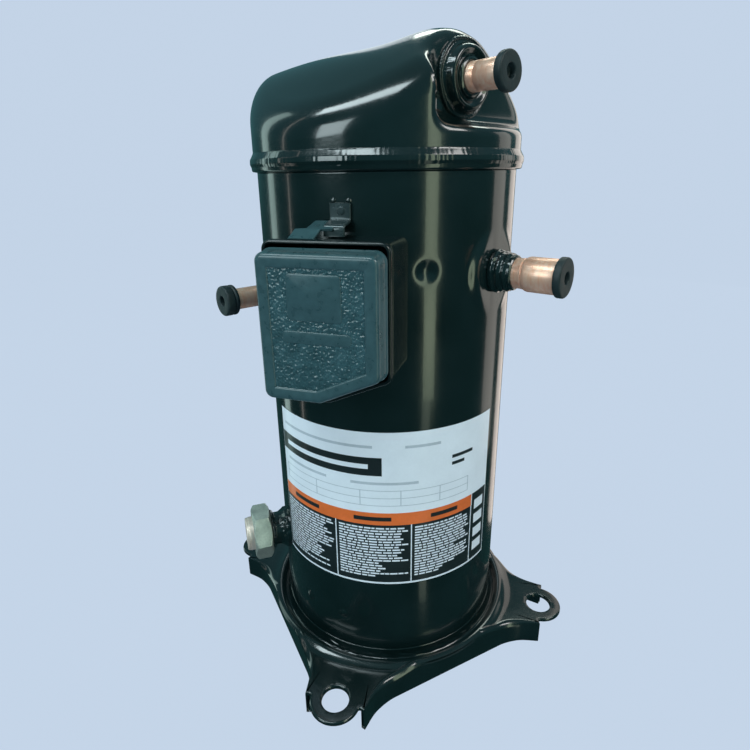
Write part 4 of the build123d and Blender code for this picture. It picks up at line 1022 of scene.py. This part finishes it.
def strap():
    """Bent strap welded to the shell above the box, with a weld spot and toe welds."""
    top, low_z = high("cover_strap").z, low("cover_strap").z
    lie, out = -SHELL_R - 1.2, low("cover_strap").y + 1.0
    bend = low_z + 8
    path = soft([(lie, top - 0.3), (lie, bend), (out, bend - 2.2), (out, low_z + 0.2)], [0, 2.4, 2.4, 0], 7)
    piece("strap", strip(path, 0, 6.5, 2.0), ["cover_strap"], "strap_steel", smooth=50)
    spot = soft([(0, -0.4), (2.6, -0.4), (2.6, 0.1), (1.9, 0.45), (0, 0.5)], [0, 0, 0.2, 0.3, 0])
    place = out_frame(0, (top + bend) / 2 + 0.5) @ Matrix.Translation((0.6, 0, -lie + 1.0))
    piece("strap_spot", lathe(spot, 48), (), "strap_steel", place=place, smooth=60)
    toe = soft([(0, -1.5), (1.6, -1.5), (1.7, 0.1), (0.9, 0.7), (0, 0.8)], [0, 0, 0.6, 0.6, 0])
    for side, az, seed in (("left", -3.0, 61), ("right", 3.0, 62)):
        bump = lathe(toe, 48, weld_lumps(seed, 0.25, -1, 1.2, (3, 6)))
        place = out_frame(az, top + 0.9) @ Matrix.Translation((0, 0, SHELL_R))
        piece(f"strap_weld_{side}", bump, place=place, smooth=60)


def box_flap():
    """Folded flap over the cable entry in the tray's top wall."""
    top = high("terminal_box_base").z
    path = soft([(-114, top - 0.6), (-106, top + 4.2), (-95, top + 7.6)], [0, 3, 0], 6)
    piece("box_flap", strip(path, -16, 8, 1.6, 9), (), "box_plastic", smooth=50)


def gasket():
    """Foam ring between the tray and the shell."""
    r_in = TERMINAL_R + 1.5
    outline = soft([(r_in, 89), (GASKET_R - 0.2, 89), (GASKET_R - 0.2, -BOX_FLOOR_Y), (r_in, -BOX_FLOOR_Y)],
                   [0, 0, 1.2, 1.2])
    fitting("gasket_ring", outline, (0, TERMINAL_Z), ["terminal_gasket"], "foam", steps=96, smooth=60)


# ---- label ----
LABEL_AZ, LABEL_Z = (-43, 71), (low("nameplate").z, high("nameplate").z)
COLUMN_AZ = (-43, -8, 27, 59)
ORANGE_Z = (121.3, 131.3)


def patch(az0, az1, z0, z1, lift):
    """A thin curved rectangle on the shell; lift is its outside above the shell."""
    count = max(1, math.ceil((az1 - az0) / 3))
    rows = []
    for r in (SHELL_R + lift - 0.05, SHELL_R + lift):
        for z in ((z0, z1) if r < SHELL_R + lift else (z1, z0)):
            rows.append([polar(r, az0 + (az1 - az0) * k / count, z) for k in range(count + 1)])
    verts, faces = grid(rows, wrap=False, close_rows=True)
    end = count + 1
    sides = [tuple(i * end for i in range(4)), tuple(i * end + count for i in range(4))]
    return verts, faces + sides


def text_rows(draw, az0, az1, z_top, z_bottom, pitch, fill):
    """Rows of plain dashes that fill a column from its top, as fine print does."""
    marks, z = [], z_top
    while z > z_bottom:
        end = az0 + (az1 - az0) * draw.uniform(*fill)
        az = az0
        while az < end:
            dash = draw.uniform(1.2, 4.2)
            marks.append(patch(az, min(az + dash, az1), z - pitch * 0.52, z, LINE_LIFT))
            az += dash + draw.uniform(0.35, 0.7)
        z -= pitch
    return marks


BAND_LIFT, LINE_LIFT = 0.20, 0.26


def label():
    """White label: black head band, orange band, a dark block of plain dashes and a column of marks."""
    draw = np.random.default_rng(19)
    az0, az1 = LABEL_AZ
    piece("label_sheet", patch(az0, az1, *LABEL_Z, 0.14), ["nameplate"], "label")
    dark = [
        (az0 + 0.3, 14, 161, 175), (az0 + 0.3, az1 - 0.5, LABEL_Z[0] + 1.6, ORANGE_Z[0]),
        (COLUMN_AZ[-1] + 0.6, az1 - 0.5, *ORANGE_Z), (46, 58, 168.5, 171), (46, 53, 163, 165.5),
    ]
    piece("label_dark", join(*(patch(*spans, BAND_LIFT) for spans in dark)), (), "label_black")
    piece("label_band", patch(az0 + 0.3, COLUMN_AZ[-1], *ORANGE_Z, BAND_LIFT), (), "label_orange")
    marks = [patch(-38, 8, 166.2, 169.8, LINE_LIFT)]
    for start, end in zip(COLUMN_AZ[:-1], COLUMN_AZ[1:]):
        marks += text_rows(draw, start + 1.6, end - 1.4, ORANGE_Z[0] - 2.2, 98, 2.3, (0.82, 1.0))
        marks += text_rows(draw, start + 1.6, end - 1.4, 96, 76, 2.3, (0.3, 1.0))
        marks.append(patch(end - 0.25, end + 0.25, LABEL_Z[0] + 1.6, ORANGE_Z[0], LINE_LIFT))
    for k in range(4):
        z = 79 + 12.5 * k
        marks.append(patch(COLUMN_AZ[-1] + 2.4, az1 - 2.6, z, z + 8, LINE_LIFT))
    piece("label_print", join(*marks), (), "label")
    rules = [(-40, 56, z, z + 0.5) for z in (137, 143, 149)]
    rules += [(az, az + 0.4, 137, 149.5) for az in (-40, -18, 4, 22, 40, 55.6)]
    rules += [(-38, -12, 154, 156), (0, 30, 154, 156), (-40, 10, 182, 184), (24, 40, 182, 184)]
    piece("label_rules", join(*(patch(*spans, BAND_LIFT) for spans in rules)), (), "label_grey")
    heads = [patch(start + 9, end - 9, ORANGE_Z[0] + 3.4, ORANGE_Z[1] - 3.4, LINE_LIFT)
             for start, end in zip(COLUMN_AZ[:-1], COLUMN_AZ[1:])]
    piece("label_heads", join(*heads), (), "label_black")


# ---- stage, lights and camera ----
BACKDROP = (0.558, 0.665, 0.807)


SKY = [
    (0.0, (0.006, 0.024, 0.024)), (0.45, (0.014, 0.046, 0.046)), (0.55, (0.04, 0.12, 0.13)),
    (0.70, (0.05, 0.13, 0.15)), (0.85, (0.06, 0.14, 0.16)), (1.0, (0.08, 0.17, 0.19)),
]


def plain_floor():
    """Pale floor that sweeps up into a backdrop; it glows a little, and shiny parts don't mirror it."""
    material, tree, shader = new_material("floor_pale")
    tone = noise(tree, 3, 2)
    dim, pale = (tuple(share * c for c in BACKDROP) for share in (0.018, 0.022))
    color = ramp(tree, tone, "Fac", [(0.2, dim), (0.8, pale)])
    link(tree, color, "Color", shader, "Base Color")
    shader.inputs["Roughness"].default_value = 1.0
    shader.inputs["Specular IOR Level"].default_value = 0.0
    shader.inputs["Emission Color"].default_value = (*BACKDROP, 1)
    shader.inputs["Emission Strength"].default_value = 0.98
    ground = cad_low.z
    wide, back, sweep, tall = 9.0, 4.0, 2.0, 6.0
    line = [(-wide, ground), (back, ground)]
    for t in np.linspace(0.1, math.pi / 2, 16):
        line.append((back + sweep * math.sin(t), ground + sweep * (1 - math.cos(t))))
    line.append((back + sweep, ground + tall))
    verts = [(x, y, z) for y, z in line for x in (-wide, wide)]
    faces = [(2 * i, 2 * i + 1, 2 * i + 3, 2 * i + 2) for i in range(len(line) - 1)]
    mesh = bpy.data.meshes.new("floor")
    mesh.from_pydata(verts, [], faces)
    mesh.materials.append(material)
    floor = bpy.data.objects.new("floor", mesh)
    bpy.context.scene.collection.objects.link(floor)
    for face in mesh.polygons:
        face.use_smooth = True
    floor.visible_glossy = False
    floor.visible_shadow = False


def soft_box(name, at, target, size, radiance, color):
    """A rectangular lamp of a given radiance that looks at a target, in metres."""
    data = bpy.data.lights.new(name, "AREA")
    data.shape = "RECTANGLE"
    data.size, data.size_y = size
    data.energy = radiance * math.pi * size[0] * size[1]
    data.color = color
    lamp = bpy.data.objects.new(name, data)
    lamp.location = at
    lamp.rotation_euler = (Vector(target) - Vector(at)).to_track_quat("-Z", "Y").to_euler()
    bpy.context.scene.collection.objects.link(lamp)


# Upright strips: azimuth, distance, lower and upper ends, width, radiance, colour.
STRIPS = {
    "left_streak": (-98, 1.6, -0.9, 1.8, 0.30, 1.5, (0.74, 1.0, 0.94)),
    "left_line": (-72, 1.6, -0.9, 1.8, 0.05, 1.6, (1.0, 0.92, 0.84)),
    "right_streak": (54, 1.6, -0.45, 1.8, 0.30, 2.2, (0.84, 1.0, 0.70)),
    "right_streak_low": (52, 1.6, -1.4, -0.45, 0.22, 0.7, (0.86, 1.0, 0.80)),
    "pad_glow": (128, 1.8, -0.8, 1.2, 0.6, 0.8, (1.0, 0.92, 0.84)),
    "back_right": (160, 1.8, -1.2, 2.0, 0.7, 1.1, (1.0, 0.86, 0.78)),
    "back_left": (-160, 1.8, -1.0, 2.0, 0.4, 0.9, (0.9, 0.95, 1.0)),
}
# Overhead and front lamps: place, height of the point they look at, size, radiance, colour.
LAMPS = {
    "overhead": ((-0.5, -0.9, 1.9), 0.35, (1.7, 0.35), 9.0, (0.80, 0.96, 1.0)),
    "high_right": ((1.35, -0.35, 1.45), 0.35, (0.8, 0.5), 7.0, (1.0, 0.98, 0.96)),
    "high_back": ((0.1, 1.1, 1.5), 0.35, (1.2, 0.25), 5.0, (0.90, 1.0, 0.90)),
    "front_fill": ((-0.9, -1.7, 0.9), 0.25, (0.8, 0.8), 5.0, (0.80, 0.97, 1.0)),
}


def studio():
    """A dim even sky, upright strips that draw streaks on the enamel, and soft boxes overhead."""
    world = bpy.data.worlds.new("sky")
    world.use_nodes = True
    tree = world.node_tree
    place = add(tree, "ShaderNodeTexCoord")
    parts = add(tree, "ShaderNodeSeparateXYZ")
    link(tree, place, "Generated", parts, "Vector")
    half = add(tree, "ShaderNodeMath", {1: 0.5}, operation="MULTIPLY_ADD")
    half.inputs[2].default_value = 0.5
    link(tree, parts, "Z", half, 0)
    sky = ramp(tree, half, "Value", SKY)
    link(tree, sky, "Color", tree.nodes["Background"], "Color")
    tree.nodes["Background"].inputs["Strength"].default_value = 1.2
    bpy.context.scene.world = world
    for name, (az, distance, z0, z1, width, radiance, color) in STRIPS.items():
        at = polar(distance, az, (z0 + z1) / 2)
        soft_box(name, at, (0, 0, at.z), (width, z1 - z0), radiance, color)
    for name, (at, aim, size, radiance, color) in LAMPS.items():
        soft_box(name, at, (0, 0, aim), size, radiance, color)


def camera():
    """Camera at the reference viewing angle."""
    data = bpy.data.cameras.new("camera")
    data.sensor_width = 36
    data.lens = 25.43
    data.shift_x, data.shift_y = -0.0028, -0.0224
    data.clip_start, data.clip_end = 0.01, 50
    cam = bpy.data.objects.new("camera", data)
    right, up = Vector((0.9525, 0.3048, -0.013)), Vector((-0.0884, 0.3175, 0.944))
    ahead = up.cross(right)
    cam.matrix_world = Matrix((
        (right.x, up.x, -ahead.x, 0.1171), (right.y, up.y, -ahead.y, -0.3878),
        (right.z, up.z, -ahead.z, 0.3559), (0, 0, 0, 1),
    ))
    bpy.context.scene.collection.objects.link(cam)
    bpy.context.scene.camera = cam
    bpy.context.scene.view_settings.view_transform = "Standard"


def build():
    """Makes every piece."""
    paint_nodes()
    top_cap()
    shell()
    seam()
    lower_bowl()
    base_plate()
    foot_weld()
    discharge_boss()
    tube("discharge_tube", 8.35, 6.4, POCKET_D - 6, DISCHARGE_TIP, POCKET_D + 12.5, 0.45, DISCHARGE,
         "discharge_stub")
    suction()
    injection()
    plugs()
    oil_boss()
    union_nut()
    union_blank()
    box_tray()
    cover_frame()
    cover_panel()
    cover_marks()
    strap()
    box_flap()
    gasket()
    label()


build()
plain_floor()
studio()
camera()
